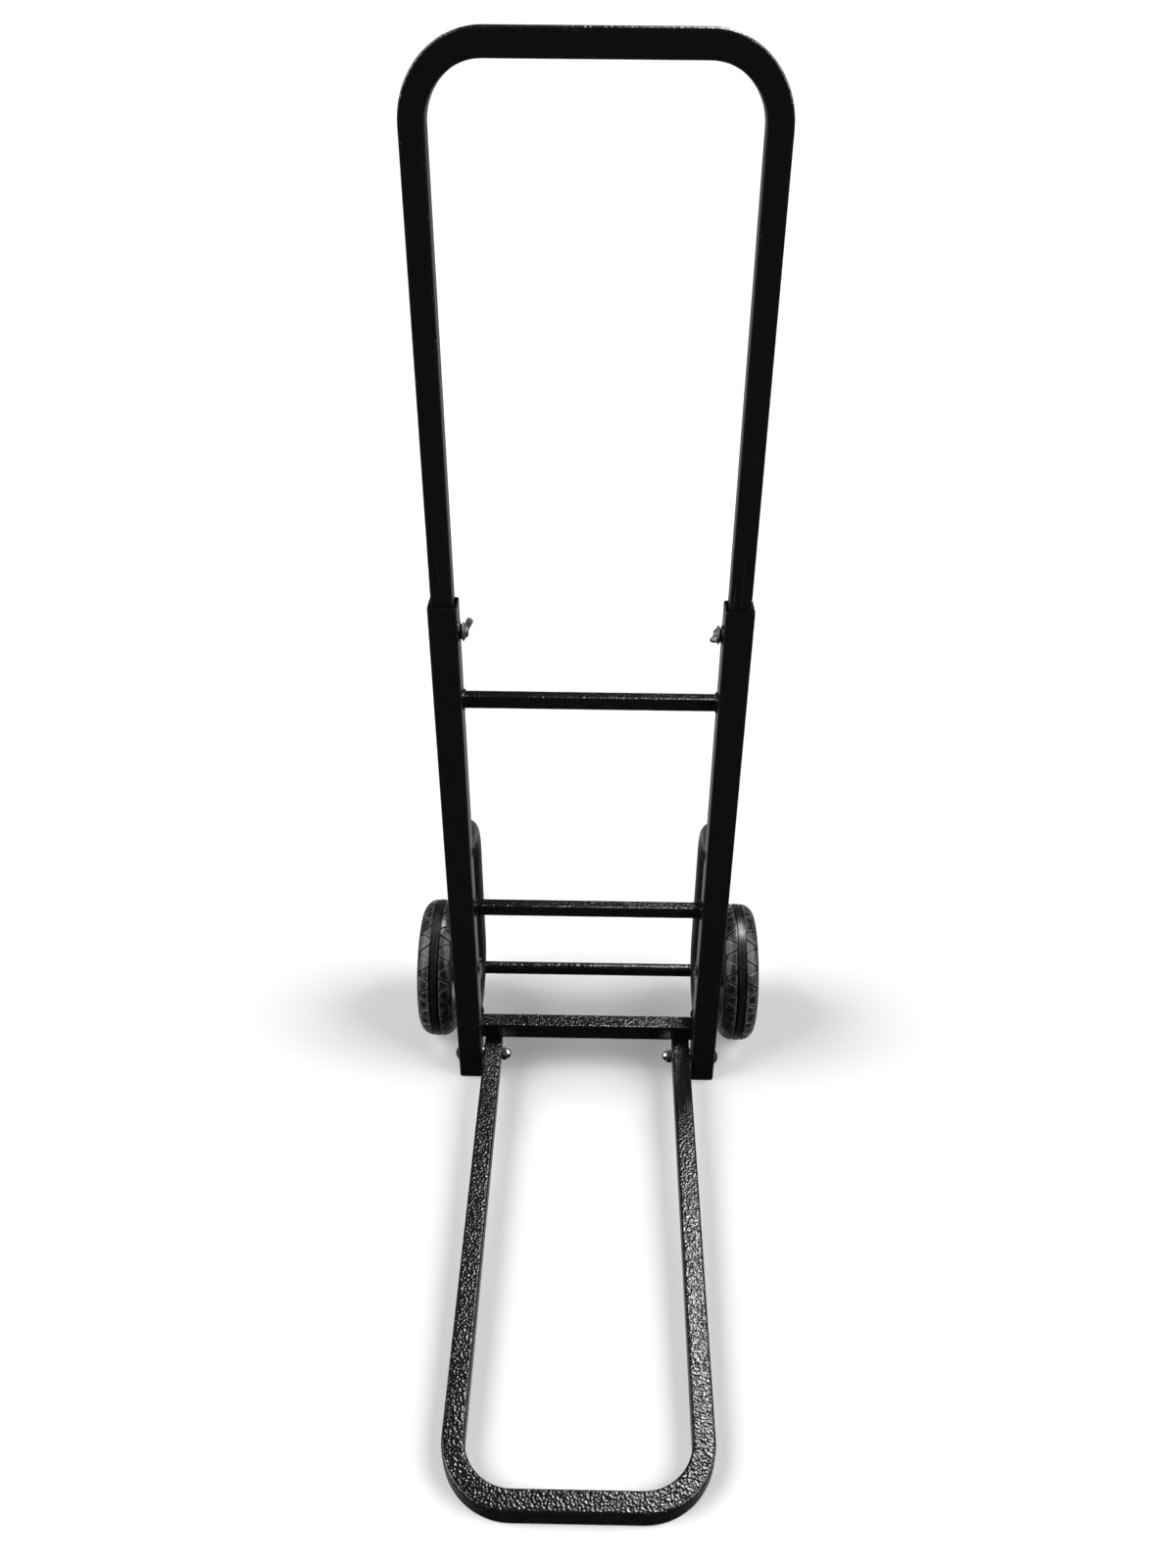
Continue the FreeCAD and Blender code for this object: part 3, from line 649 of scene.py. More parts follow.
@dataclass
class Section:
    """The section of a tube: square with round corners, or round where the corner is half."""

    side: float
    corner: float
    wall: float

    def ring(self, shrink: float) -> List[Triple]:
        """Return the outline.

        Args:
            shrink: How far it lies inside the tube's outer skin.

        Returns:
            Its points, each with 1 on a corner's arc and 0 on a flat.
        """
        half = self.side / 2 - shrink
        corner = self.corner - shrink
        if self.corner >= self.side / 2:
            count = 44
            turns = [FULL_TURN * n / count for n in range(count)]
            return [(half * math.cos(a), half * math.sin(a), 0.0) for a in turns]
        corner = max(corner, 0.25 * MM)
        flat = half - corner
        step = 0.5 * MM
        ring = []
        for quarter in range(4):
            turn = Matrix.Rotation(quarter * math.pi / 2, 2)
            marks = [((half, -flat + step), 0.0), ((half, flat - step), 0.0)]
            for n in range(6):
                angle = math.pi / 2 * n / 5
                marks.append(((flat + corner * math.cos(angle),
                               flat + corner * math.sin(angle)), 1.0))
            for spot, mark in marks:
                x, y = turn @ Vector(spot)
                ring.append((x, y, mark))
        return ring


class Route:
    """A tube's middle line in one plane: straight runs and arcs, walked from its start."""

    def __init__(self, start: Vector, heading: Vector, normal: Vector) -> None:
        """Stand at the start.

        Args:
            start: Where the line begins.
            heading: Its first direction.
            normal: The direction square to the plane; arcs turn about it.
        """
        self.normal = normal.normalized()
        self.heading = heading.normalized()
        self.stations = [(start.copy(), self.heading.copy())]

    def run(self, length: float) -> "Route":
        """Go straight on."""
        spot = self.stations[-1][0] + self.heading * length
        self.stations.append((spot, self.heading.copy()))
        return self

    def arc(self, radius: float, angle: float, steps: int = 18) -> "Route":
        """Turn about the normal.

        Args:
            radius: The arc's radius.
            angle: How far it turns, in radians.
            steps: Straight pieces in it.

        Returns:
            The route itself.
        """
        spot = self.stations[-1][0]
        centre = spot + self.normal.cross(self.heading) * radius
        for step in range(1, steps + 1):
            turn = Matrix.Rotation(angle * step / steps, 3, self.normal)
            way = turn @ self.heading
            self.stations.append((centre + turn @ (spot - centre), way))
        self.heading = self.stations[-1][1].copy()
        return self


def tube(name: str, route: Route, section: Section, rim: float = 0.35 * MM) -> bpy.types.Mesh:
    """Sweep a hollow tube along a route, its cut ends slightly broken.

    Args:
        name: The mesh's name.
        route: The tube's middle line.
        section: Its section.
        rim: How much its cut edges are broken.

    Returns:
        The tube as one closed mesh.
    """
    stations = route.stations
    (first, way_in), (last, way_out) = stations[0], stations[-1]
    outside = [(first, way_in, rim), (first + way_in * rim, way_in, 0.0)]
    outside += [(spot, way, 0.0) for spot, way in stations[1:-1]]
    outside += [(last - way_out * rim, way_out, 0.0), (last, way_out, rim)]
    inside = [(spot, way, section.wall) for spot, way in reversed(stations)]
    points: List[Vector] = []
    edge: List[float] = []
    count = len(section.ring(0.0))
    for spot, way, shrink in outside + inside:
        across = way.cross(route.normal)
        for a, b, mark in section.ring(shrink):
            points.append(spot + route.normal * a + across * b)
            edge.append(1.0 if shrink == rim else mark if shrink == 0.0 else 0.0)
    rings = len(points) // count
    faces = []
    for ring in range(rings):
        following = (ring + 1) % rings
        for n in range(count):
            m = (n + 1) % count
            faces.append((ring * count + n, ring * count + m, following * count + m,
                          following * count + n))
    return mesh_of(name, points, faces, edge)


def turned(name: str, outline: Callable[[float], Sequence[Pair]], centre: Vector,
           facing: float = 1.0, segments: int = 64, smooth: float = 32.0) -> bpy.types.Mesh:
    """Turn an outline about a line along X.

    Args:
        name: The mesh's name.
        outline: Gives the points (along X, radius) at an angle; they form a closed ring, or
            start and end on the axis.
        centre: The point that (0, 0) becomes.
        facing: 1 if along points to +X, -1 if to -X.
        segments: How many times the outline is set round the axis.
        smooth: Shading breaks above this angle, in degrees.

    Returns:
        The turned solid.
    """
    points: List[Vector] = []
    faces: List[Sequence[int]] = []
    count = len(outline(0.0))
    for n in range(segments):
        angle = FULL_TURN * n / segments
        for along, radius in outline(angle):
            points.append(centre + Vector((facing * along, radius * math.cos(angle),
                                           radius * math.sin(angle))))
    on_axis = outline(0.0)[0][1] <= 0
    for n in range(segments):
        ahead = (n + 1) % segments
        for k in range(count - 1 if on_axis else count):
            m = (k + 1) % count
            quad = [n * count + k, n * count + m, ahead * count + m, ahead * count + k]
            if on_axis and k == 0:
                quad = quad[1:3] + [k]
            elif on_axis and m == count - 1:
                quad = [quad[0], m, quad[3]]
            faces.append(quad)
    return mesh_of(name, points, faces, None, smooth)


def fixed(points: Sequence[Pair]) -> Callable[[float], Sequence[Pair]]:
    """Return an outline that is the same all round."""
    return lambda angle: points


def hexagon(flats: float, length: float, bore: float = 0.0) -> Callable[[float], Sequence[Pair]]:
    """Return the outline of a hexagonal nut, its corners chamfered at both ends.

    Args:
        flats: Width across its flats.
        length: Its length from along = 0.
        bore: Radius of its hole, or 0 for none.

    Returns:
        The outline at any angle.
    """
    face = flats / 2 * 0.95
    slope = math.tan(math.radians(28))
    sixth = math.pi / 3

    def outline(angle: float) -> Sequence[Pair]:
        """Return the outline where the hexagon has the radius of this angle."""
        off = (angle + sixth / 2) % sixth - sixth / 2
        radius = flats / 2 / math.cos(off)
        drop = (radius - face) * slope
        skin = [(0.0, face), (drop, radius), (length - drop, radius), (length, face)]
        return [(0.0, bore), *skin, (length, bore)]

    return outline


def pillow(name: str, levels: Sequence[Triple], centre: Vector, heading: Vector,
           normal: Vector) -> bpy.types.Mesh:
    """Stack rounded squares into a closed solid, such as a moulded plug.

    Args:
        name: The mesh's name.
        levels: For each square its height along heading, its side and its corner's radius.
        centre: Where the height is 0.
        heading: The direction of the stack.
        normal: A direction along one side of the squares.

    Returns:
        The solid.
    """
    across = heading.cross(normal)
    points: List[Vector] = []
    rings = []
    for height, side, corner in levels:
        ring = Section(side, corner, 0.0).ring(0.0)
        rings.append([len(points) + n for n in range(len(ring))])
        points += [centre + heading * height + normal * a + across * b for a, b, _ in ring]
    faces: List[Sequence[int]] = [rings[0][::-1], rings[-1]]
    for low, high in zip(rings, rings[1:]):
        for n in range(len(low)):
            m = (n + 1) % len(low)
            faces.append((low[n], low[m], high[m], high[n]))
    return mesh_of(name, points, faces)


# ---------------------------------------------------------------------------------------------
# Geometry Nodes


class GeometryTree:
    """A Geometry Nodes tree under construction, with named inputs for its sizes."""

    def __init__(self, name: str, sizes: Dict[str, str]) -> None:
        """Start the tree.

        Args:
            name: The tree's name.
            sizes: The kind of each named input, such as "Float".
        """
        self.tree = bpy.data.node_groups.new(name, "GeometryNodeTree")
        face = self.tree.interface
        self.sockets = {}
        for label, kind in {"Geometry": "Geometry", **sizes, "Material": "Material"}.items():
            self.sockets[label] = face.new_socket(label, in_out="INPUT",
                                                  socket_type="NodeSocket" + kind)
        face.new_socket("Geometry", in_out="OUTPUT", socket_type="NodeSocketGeometry")
        self.given = self.tree.nodes.new("NodeGroupInput").outputs

    def node(self, kind: str, settings: Optional[dict] = None,
             inputs: Optional[dict] = None, output: object = 0) -> bpy.types.NodeSocket:
        """Add one node.

        Args:
            kind: The node's type.
            settings: Its properties, set first.
            inputs: A socket or a value for each input, by name or number.
            output: The output wanted.

        Returns:
            That output.
        """
        made = self.tree.nodes.new(kind)
        for name, choice in (settings or {}).items():
            setattr(made, name, choice)
        for key, given in (inputs or {}).items():
            if isinstance(given, bpy.types.NodeSocket):
                self.tree.links.new(given, made.inputs[key])
            else:
                made.inputs[key].default_value = given
        return made.outputs[output]

    def maths(self, operation: str, *values: object) -> bpy.types.NodeSocket:
        """Add a Math node."""
        return self.node("ShaderNodeMath", {"operation": operation}, dict(enumerate(values)))

    def close(self, shape: bpy.types.NodeSocket) -> "GeometryTree":
        """Realize the shape, give it the material and end the tree."""
        real = self.node("GeometryNodeRealizeInstances", None, {0: shape})
        dressed = self.node("GeometryNodeSetMaterial", None,
                            {"Geometry": real, "Material": self.given["Material"]})
        self.tree.links.new(dressed, self.tree.nodes.new("NodeGroupOutput").inputs[0])
        return self

    def grow(self, name: str, seed: bpy.types.Mesh, values: Dict[str, object],
             finish: object) -> bpy.types.Mesh:
        """Run the tree on a mesh.

        Args:
            name: The new mesh's name.
            seed: The mesh that the tree starts from.
            values: A value for each named input.
            finish: The finish of what it makes.

        Returns:
            What it makes, as a plain mesh.
        """
        holder = bpy.data.objects.new(name + "_seed", seed)
        bpy.context.scene.collection.objects.link(holder)
        modifier = holder.modifiers.new("Grow", "NODES")
        modifier.node_group = self.tree
        for label, given in {**values, "Material": PALETTE.of(finish)}.items():
            modifier[self.sockets[label].identifier] = given
        depsgraph = bpy.context.evaluated_depsgraph_get()
        mesh = bpy.data.meshes.new_from_object(holder.evaluated_get(depsgraph))
        mesh.name = name
        holder.modifiers.remove(modifier)
        bpy.data.objects.remove(holder)
        return mesh


def ring_tree() -> GeometryTree:
    """Make the tree that sets copies of a mesh round the X axis."""
    g = GeometryTree("ring_of_copies", {"Count": "Int"})
    count = g.given["Count"]
    line = g.node("GeometryNodeMeshLine", None, {"Count": count, "Offset": (0, 0, 0)})
    step = g.maths("DIVIDE", FULL_TURN, count)
    angle = g.maths("MULTIPLY", g.node("GeometryNodeInputIndex"), step)
    turn = g.node("ShaderNodeCombineXYZ", None, {"X": angle})
    copies = g.node("GeometryNodeInstanceOnPoints", None,
                    {"Points": line, "Instance": g.given["Geometry"], "Rotation": turn})
    return g.close(copies)


def bead_tree() -> GeometryTree:
    """Make the tree that lays a rippled weld bead along the edges of a mesh."""
    g = GeometryTree("weld_bead", {"Radius": "Float", "Ripple": "Float", "Taper": "Float",
                                   "Seed": "Float"})
    radius = g.given["Radius"]
    line = g.node("GeometryNodeMeshToCurve", None, {0: g.given["Geometry"]})
    fine = g.node("GeometryNodeResampleCurve", {"mode": "LENGTH"},
                  {"Curve": line, "Length": g.maths("MULTIPLY", radius, 0.22)})
    factor = g.node("GeometryNodeSplineParameter")
    length = g.node("GeometryNodeSplineParameter", output="Length")
    phase = g.maths("DIVIDE", length, g.maths("MULTIPLY", radius, 0.24))
    wobble = g.node("ShaderNodeTexNoise", {"noise_dimensions": "4D"},
                    {"W": g.given["Seed"], "Scale": 260.0, "Detail": 1.0})
    ripple = g.maths("MULTIPLY", g.maths("SINE", phase), g.given["Ripple"])
    swell = g.maths("ADD", ripple, g.maths("ADD", wobble, 0.5))
    arch = g.maths("POWER", g.maths("SINE", g.maths("MULTIPLY", factor, math.pi)), 0.5)
    ends = g.maths("ADD", g.maths("MULTIPLY", arch, g.given["Taper"]),
                   g.maths("SUBTRACT", 1.0, g.given["Taper"]))
    size = g.maths("MAXIMUM", g.maths("MULTIPLY", swell, ends), 0.05)
    sized = g.node("GeometryNodeSetCurveRadius", None, {"Curve": fine, "Radius": size})
    section = g.node("GeometryNodeCurvePrimitiveCircle", None,
                     {"Resolution": 10, "Radius": radius})
    bead = g.node("GeometryNodeCurveToMesh", None,
                  {"Curve": sized, "Profile Curve": section, "Fill Caps": True})
    return g.close(g.node("GeometryNodeSetShadeSmooth", None, {"Geometry": bead}))


@dataclass
class Welder:
    """Lays weld beads along lines and keeps them until one piece is made of them."""

    tree: GeometryTree = field(default_factory=bead_tree)
    beads: List[bpy.types.Mesh] = field(default_factory=list)

    def lay(self, points: Sequence[Vector], radius: float, closed: bool = True) -> None:
        """Lay one bead.

        Args:
            points: The line it follows.
            radius: Half its width.
            closed: Whether the line is a loop; an open bead tapers to its ends.
        """
        count = len(points)
        edges = [(n, (n + 1) % count) for n in range(count if closed else count - 1)]
        line = bpy.data.meshes.new("bead_line")
        line.from_pydata([tuple(p) for p in points], edges, [])
        values = {"Radius": radius, "Ripple": 0.12, "Taper": 0.0 if closed else 1.0,
                  "Seed": 3.7 * len(self.beads) + 1.0}
        self.beads.append(self.tree.grow("bead", line, values, ENAMEL))

    def loop(self, centre: Vector, a_axis: Vector, b_axis: Vector, section: Section,
             radius: float) -> None:
        """Lay a bead round a tube's end.

        Args:
            centre: The middle of the tube's end.
            a_axis: A direction across it.
            b_axis: The direction square to both.
            section: The tube's section.
            radius: Half the bead's width.
        """
        ring = section.ring(-radius * 0.25)
        self.lay([centre + a_axis * a + b_axis * b for a, b, _ in ring], radius)

    def deliver(self, name: str, body: str) -> None:
        """Join what was laid into one piece."""
        add_piece(name, joined(name, self.beads), ENAMEL, body)
        self.beads = []


# ---------------------------------------------------------------------------------------------
# The truck


@dataclass
class Weldment:
    """Rails, crossbars, stop bar, axle brackets and axle, welded together."""

    body: str = "frame"
    rail_corner: float = 2.6 * MM
    rail_wall: float = 1.65 * MM
    crossbar_corner: float = 1.9 * MM
    crossbar_wall: float = 1.2 * MM
    tube_corner: float = 2.2 * MM
    tube_wall: float = 1.5 * MM
    cap_edge: float = 0.8 * MM
    cap_gap: float = 0.1 * MM
    seat_gap: float = 0.05 * MM
    crossbar_bead: float = 1.5 * MM
    frame_bead: float = 1.7 * MM
    axle_bead: float = 2.1 * MM
    axle_bead_length: float = 15 * MM
    nut_bead: float = 1.1 * MM
    nut_weld: float = 15 * MM
    nut_bore: float = 4.1 * MM
    welder: Welder = field(default_factory=Welder)

    def rails(self) -> None:
        """Make both rails and the moulded caps in their feet."""
        for side in Side:
            name = "rail_" + side.word
            rail = Block(name)
            foot = Vector((rail.centre.x, rail.centre.y, rail.low.z))
            section = Section(rail.size.x, self.rail_corner, self.rail_wall)
            route = Route(foot, Z_AXIS, Y_AXIS).run(rail.size.z)
            add_piece(f"{name}_tube", tube(name, route, section), ENAMEL, self.body, [name])
            self.foot_cap(side, rail)

    def foot_cap(self, side: Side, rail: Block) -> None:
        """Make the cap in a rail's foot.

        Args:
            side: Which foot.
            rail: The box of its rail.
        """
        name = "foot_cap_" + side.word
        cap = Block(name)
        width, corner, edge = cap.size.x, self.rail_corner, self.cap_edge
        plate = rail.low.z - cap.low.z
        bore = width - 2 * (self.rail_wall + self.cap_gap)
        levels = [(0, width - 2 * edge - 1.2 * MM, corner - edge), (0, width - 2 * edge, corner),
                  (edge * 0.3, width - edge * 0.6, corner), (edge, width, corner),
                  (plate, width, corner), (plate, bore, corner - self.rail_wall),
                  (cap.size.z, bore, corner - self.rail_wall)]
        start = Vector((cap.centre.x, cap.centre.y, cap.low.z))
        mesh = pillow(name, levels, start, Z_AXIS, X_AXIS)
        add_piece(name + "_moulding", mesh, FOOT_PLASTIC, self.body, [name])

    def bars(self) -> None:
        """Make the crossbars between the rails and the stop bar behind them."""
        light, heavy = (self.crossbar_corner, self.crossbar_wall), (self.tube_corner,
                                                                    self.tube_wall)
        for node, tubing in (("crossbar_upper", light), ("crossbar_middle", light),
                             ("stop_bar", heavy)):
            bar = Block(node)
            section = Section(bar.size.z, *tubing)
            start = Vector((bar.low.x, bar.centre.y, bar.centre.z))
            route = Route(start, X_AXIS, Y_AXIS).run(bar.size.x)
            add_piece(node + "_tube", tube(node, route, section), ENAMEL, self.body, [node])
            if node == "stop_bar":
                continue
            for side in Side:
                end = Vector((side.value * bar.high.x, bar.centre.y, bar.centre.z))
                self.welder.loop(end, Y_AXIS, Z_AXIS, section, self.crossbar_bead)

    def stop_bar_welds(self) -> None:
        """Lay the beads along the stop bar where it crosses the rails."""
        bar = Block("stop_bar")
        margin, inset, count = 2.5 * MM, 1.2 * MM, 14
        for side in Side:
            rail = Block("rail_" + side.word)
            start = max(rail.low.x, bar.low.x) + margin
            run = min(rail.high.x, bar.high.x) - margin - start
            for height in (bar.low.z + inset, bar.high.z - inset):
                line = [Vector((start + run * n / count, bar.low.y, height))
                        for n in range(count + 1)]
                self.welder.lay(line, self.frame_bead, closed=False)

    def brackets(self) -> None:
        """Make the bent round tubes that hold the axle behind the rails."""
        axle = Block("axle")
        for side in Side:
            name = "axle_bracket_" + side.word
            bracket = Block(name)
            across = bracket.size.x
            section = Section(across, across / 2, self.tube_wall)
            top = Vector((bracket.centre.x, bracket.low.y, bracket.high.z - across / 2))
            reach = axle.centre.y - bracket.low.y
            drop = top.z - axle.centre.z
            bend = (across / 2 + axle.size.z / 2 + self.seat_gap) / (math.sqrt(2) - 1)
            route = Route(top, Y_AXIS, -X_AXIS)
            route.run(reach - bend).arc(bend, math.pi / 2)
            route.run(drop - 2 * bend).arc(bend, math.pi / 2).run(reach - bend)
            add_piece(name + "_tube", tube(name, route, section), ENAMEL, self.body, [name])
            for height in (top.z, axle.centre.z):
                foot = Vector((top.x, bracket.low.y, height))
                self.welder.loop(foot, X_AXIS, Z_AXIS, section, self.frame_bead)
            self.axle_welds(top.x, axle)

    def axle_welds(self, x: float, axle: Block) -> None:
        """Lay the two beads that hold the axle in a bracket's bend.

        Args:
            x: The bracket's place along the axle.
            axle: The axle's box.
        """
        seat, radius, count = axle.centre, axle.size.z / 2, 12
        for angle in (math.radians(75), math.radians(195)):
            y = seat.y + radius * math.cos(angle)
            z = seat.z + radius * math.sin(angle)
            line = [Vector((x + (n / count - 0.5) * self.axle_bead_length, y, z))
                    for n in range(count + 1)]
            self.welder.lay(line, self.axle_bead, closed=False)

    def axle(self) -> None:
        """Make the solid axle."""
        block = Block("axle")
        radius, length = block.size.z / 2, block.size.x
        half, edge = length / 2, 1.0 * MM
        outline = [(-half, 0.0), (-half, radius - edge), (-half + edge, radius),
                   (half - edge, radius), (half, radius - edge), (half, 0.0)]
        mesh = turned("axle", fixed(outline), block.centre, segments=48)
        add_piece("axle_rod", mesh, ENAMEL, self.body, ["axle"])

    def clamp_nuts(self) -> None:
        """Make the weld nuts that the wing screws turn in."""
        for side in Side:
            name = "clamp_nut_" + side.word
            nut = Block(name)
            face = at_x(side, outer_x(nut), nut.centre)
            outline = hexagon(nut.size.z, nut.size.x, self.nut_bore)
            mesh = turned(name, outline, face, -side.value, segments=96, smooth=20)
            add_piece(name + "_hexagon", mesh, ENAMEL, self.body, [name])
            ring = Section(self.nut_weld, self.nut_weld / 2, 0.0)
            self.welder.loop(face, Y_AXIS, Z_AXIS, ring, self.nut_bead)

    def build(self) -> None:
        """Make the whole weldment."""
        self.rails()
        self.bars()
        self.stop_bar_welds()
        self.brackets()
        self.axle()
        self.clamp_nuts()
        self.welder.deliver("weld_beads", self.body)


@dataclass
class Handle:
    """The telescoping loop, the glides in its feet and the wing screws that clamp it."""

    body: str = "handle"
    wall: float = 1.5 * MM
    corner: float = 2.2 * MM
    bend: float = 50 * MM
    flare: float = 8.5 * MM
    neck: float = 4.2 * MM
    hub: float = 5 * MM
    wing_span: float = 14 * MM
    wing_lean: float = 9.6 * MM
    wing_width: float = 6 * MM
    wing_thickness: float = 2.5 * MM
    left_turn: float = math.radians(40)
    thread: float = 4 * MM
    nut_gap: float = 0.35 * MM
    mark_reach: float = 20 * MM

    def loop(self) -> None:
        """Make the bent loop of square tube."""
        block = Block("handle_loop")
        side = block.size.y
        foot = Vector((block.low.x + side / 2, block.centre.y, block.low.z))
        rise = block.size.z - side / 2 - self.bend
        span = block.size.x - side - 2 * self.bend
        route = Route(foot, Z_AXIS, Y_AXIS)
        route.run(rise).arc(self.bend, math.pi / 2).run(span).arc(self.bend, math.pi / 2)
        route.run(rise)
        finish = LegEnamel(slide_top=Block("rail_left").high.z + self.mark_reach)
        mesh = tube("handle_loop", route, Section(side, self.corner, self.wall))
        add_piece("handle_tube", mesh, finish, self.body, ["handle_loop"])

    def glides(self) -> None:
        """Give the glides their material; they stay hidden inside the rails."""
        for side in Side:
            dress("handle_glide_" + side.word, GREY_NYLON)

    def wing_screw(self, side: Side) -> None:
        """Make one wing screw: a flared hub with one thumb wing that leans outwards.

        Args:
            side: The rail that it clamps in.
        """
        name = "wing_screw_" + side.word
        nut = Block("clamp_nut_" + side.word)
        screw = Block(name)
        inner = -side.value
        face = at_x(side, outer_x(nut), nut.centre)
        start = nut.size.x + self.nut_gap
        tip = -(outer_x(screw) - abs(face.x))
        thread, flare, neck = self.thread, self.flare, self.neck
        outline = rounded([(tip, 0, 0), (tip, thread, 0.8 * MM), (start, thread, 0),
                           (start, flare, 0.4 * MM), (start + 1.1 * MM, flare * 0.96, 0.7 * MM),
                           (start + 3.4 * MM, neck * 1.2, 2.2 * MM),
                           (start + self.hub, neck, 0.9 * MM),
                           (start + self.hub, 0, 0)], closed=False)
        hub = turned(name, fixed(outline), face, inner, segments=56)
        wing = self.wing(name, face, inner, start, side)
        add_piece(name + "_casting", joined(name, [hub, wing]), CAST, name, [name])

    def wing(self, name: str, face: Vector, inner: float, start: float,
             side: Side) -> bpy.types.Mesh:
        """Make the thumb wing.

        Args:
            name: The mesh's name.
            face: The middle of the nut's seat on the rail.
            inner: The sign of x towards the truck's middle.
            start: Where the hub begins, measured from the seat.
            side: The rail that the screw clamps in.

        Returns:
            The wing.
        """
        thick, span, far = self.wing_thickness, self.wing_span, start + self.wing_lean
        outline = rounded([(start + 0.9 * MM, self.neck / 3, 0),
                           (start + 1.2 * MM, self.neck * 1.3, 1.6 * MM),
                           (far - self.wing_width, span, 2.4 * MM),
                           (far, span - self.wing_width / 2, 2.6 * MM),
                           (start + self.hub, self.neck / 3, 0)], steps=6)
        work = bmesh.new()
        out = Vector((0, 1, 0)) if side is Side.RIGHT else Vector(
            (0, math.cos(self.left_turn), math.sin(self.left_turn)))
        out *= -side.value
        square = X_AXIS.cross(out)
        corners = [work.verts.new(face + X_AXIS * (inner * a) + out * b - square * (thick / 2))
                   for a, b in outline]
        flat = work.faces.new(corners)
        lifted = bmesh.ops.extrude_face_region(work, geom=[flat])
        moved = [v for v in lifted["geom"] if isinstance(v, bmesh.types.BMVert)]
        bmesh.ops.translate(work, vec=square * thick, verts=moved)
        rims = [e for e in work.edges
                if abs((e.verts[0].co - e.verts[1].co).dot(square)) < thick / 2]
        bmesh.ops.bevel(work, geom=rims, offset=0.5 * MM, segments=3, profile=0.5,
                        affect="EDGES")
        mesh = bpy.data.meshes.new(name)
        bmesh.ops.recalc_face_normals(work, faces=work.faces)
        work.to_mesh(mesh)
        work.free()
        mesh.shade_smooth()
        mesh.set_sharp_from_angle(angle=math.radians(34))
        return mesh

    def build(self) -> None:
        """Make the handle and its clamps."""
        self.loop()
        self.glides()
        for side in Side:
            self.wing_screw(side)


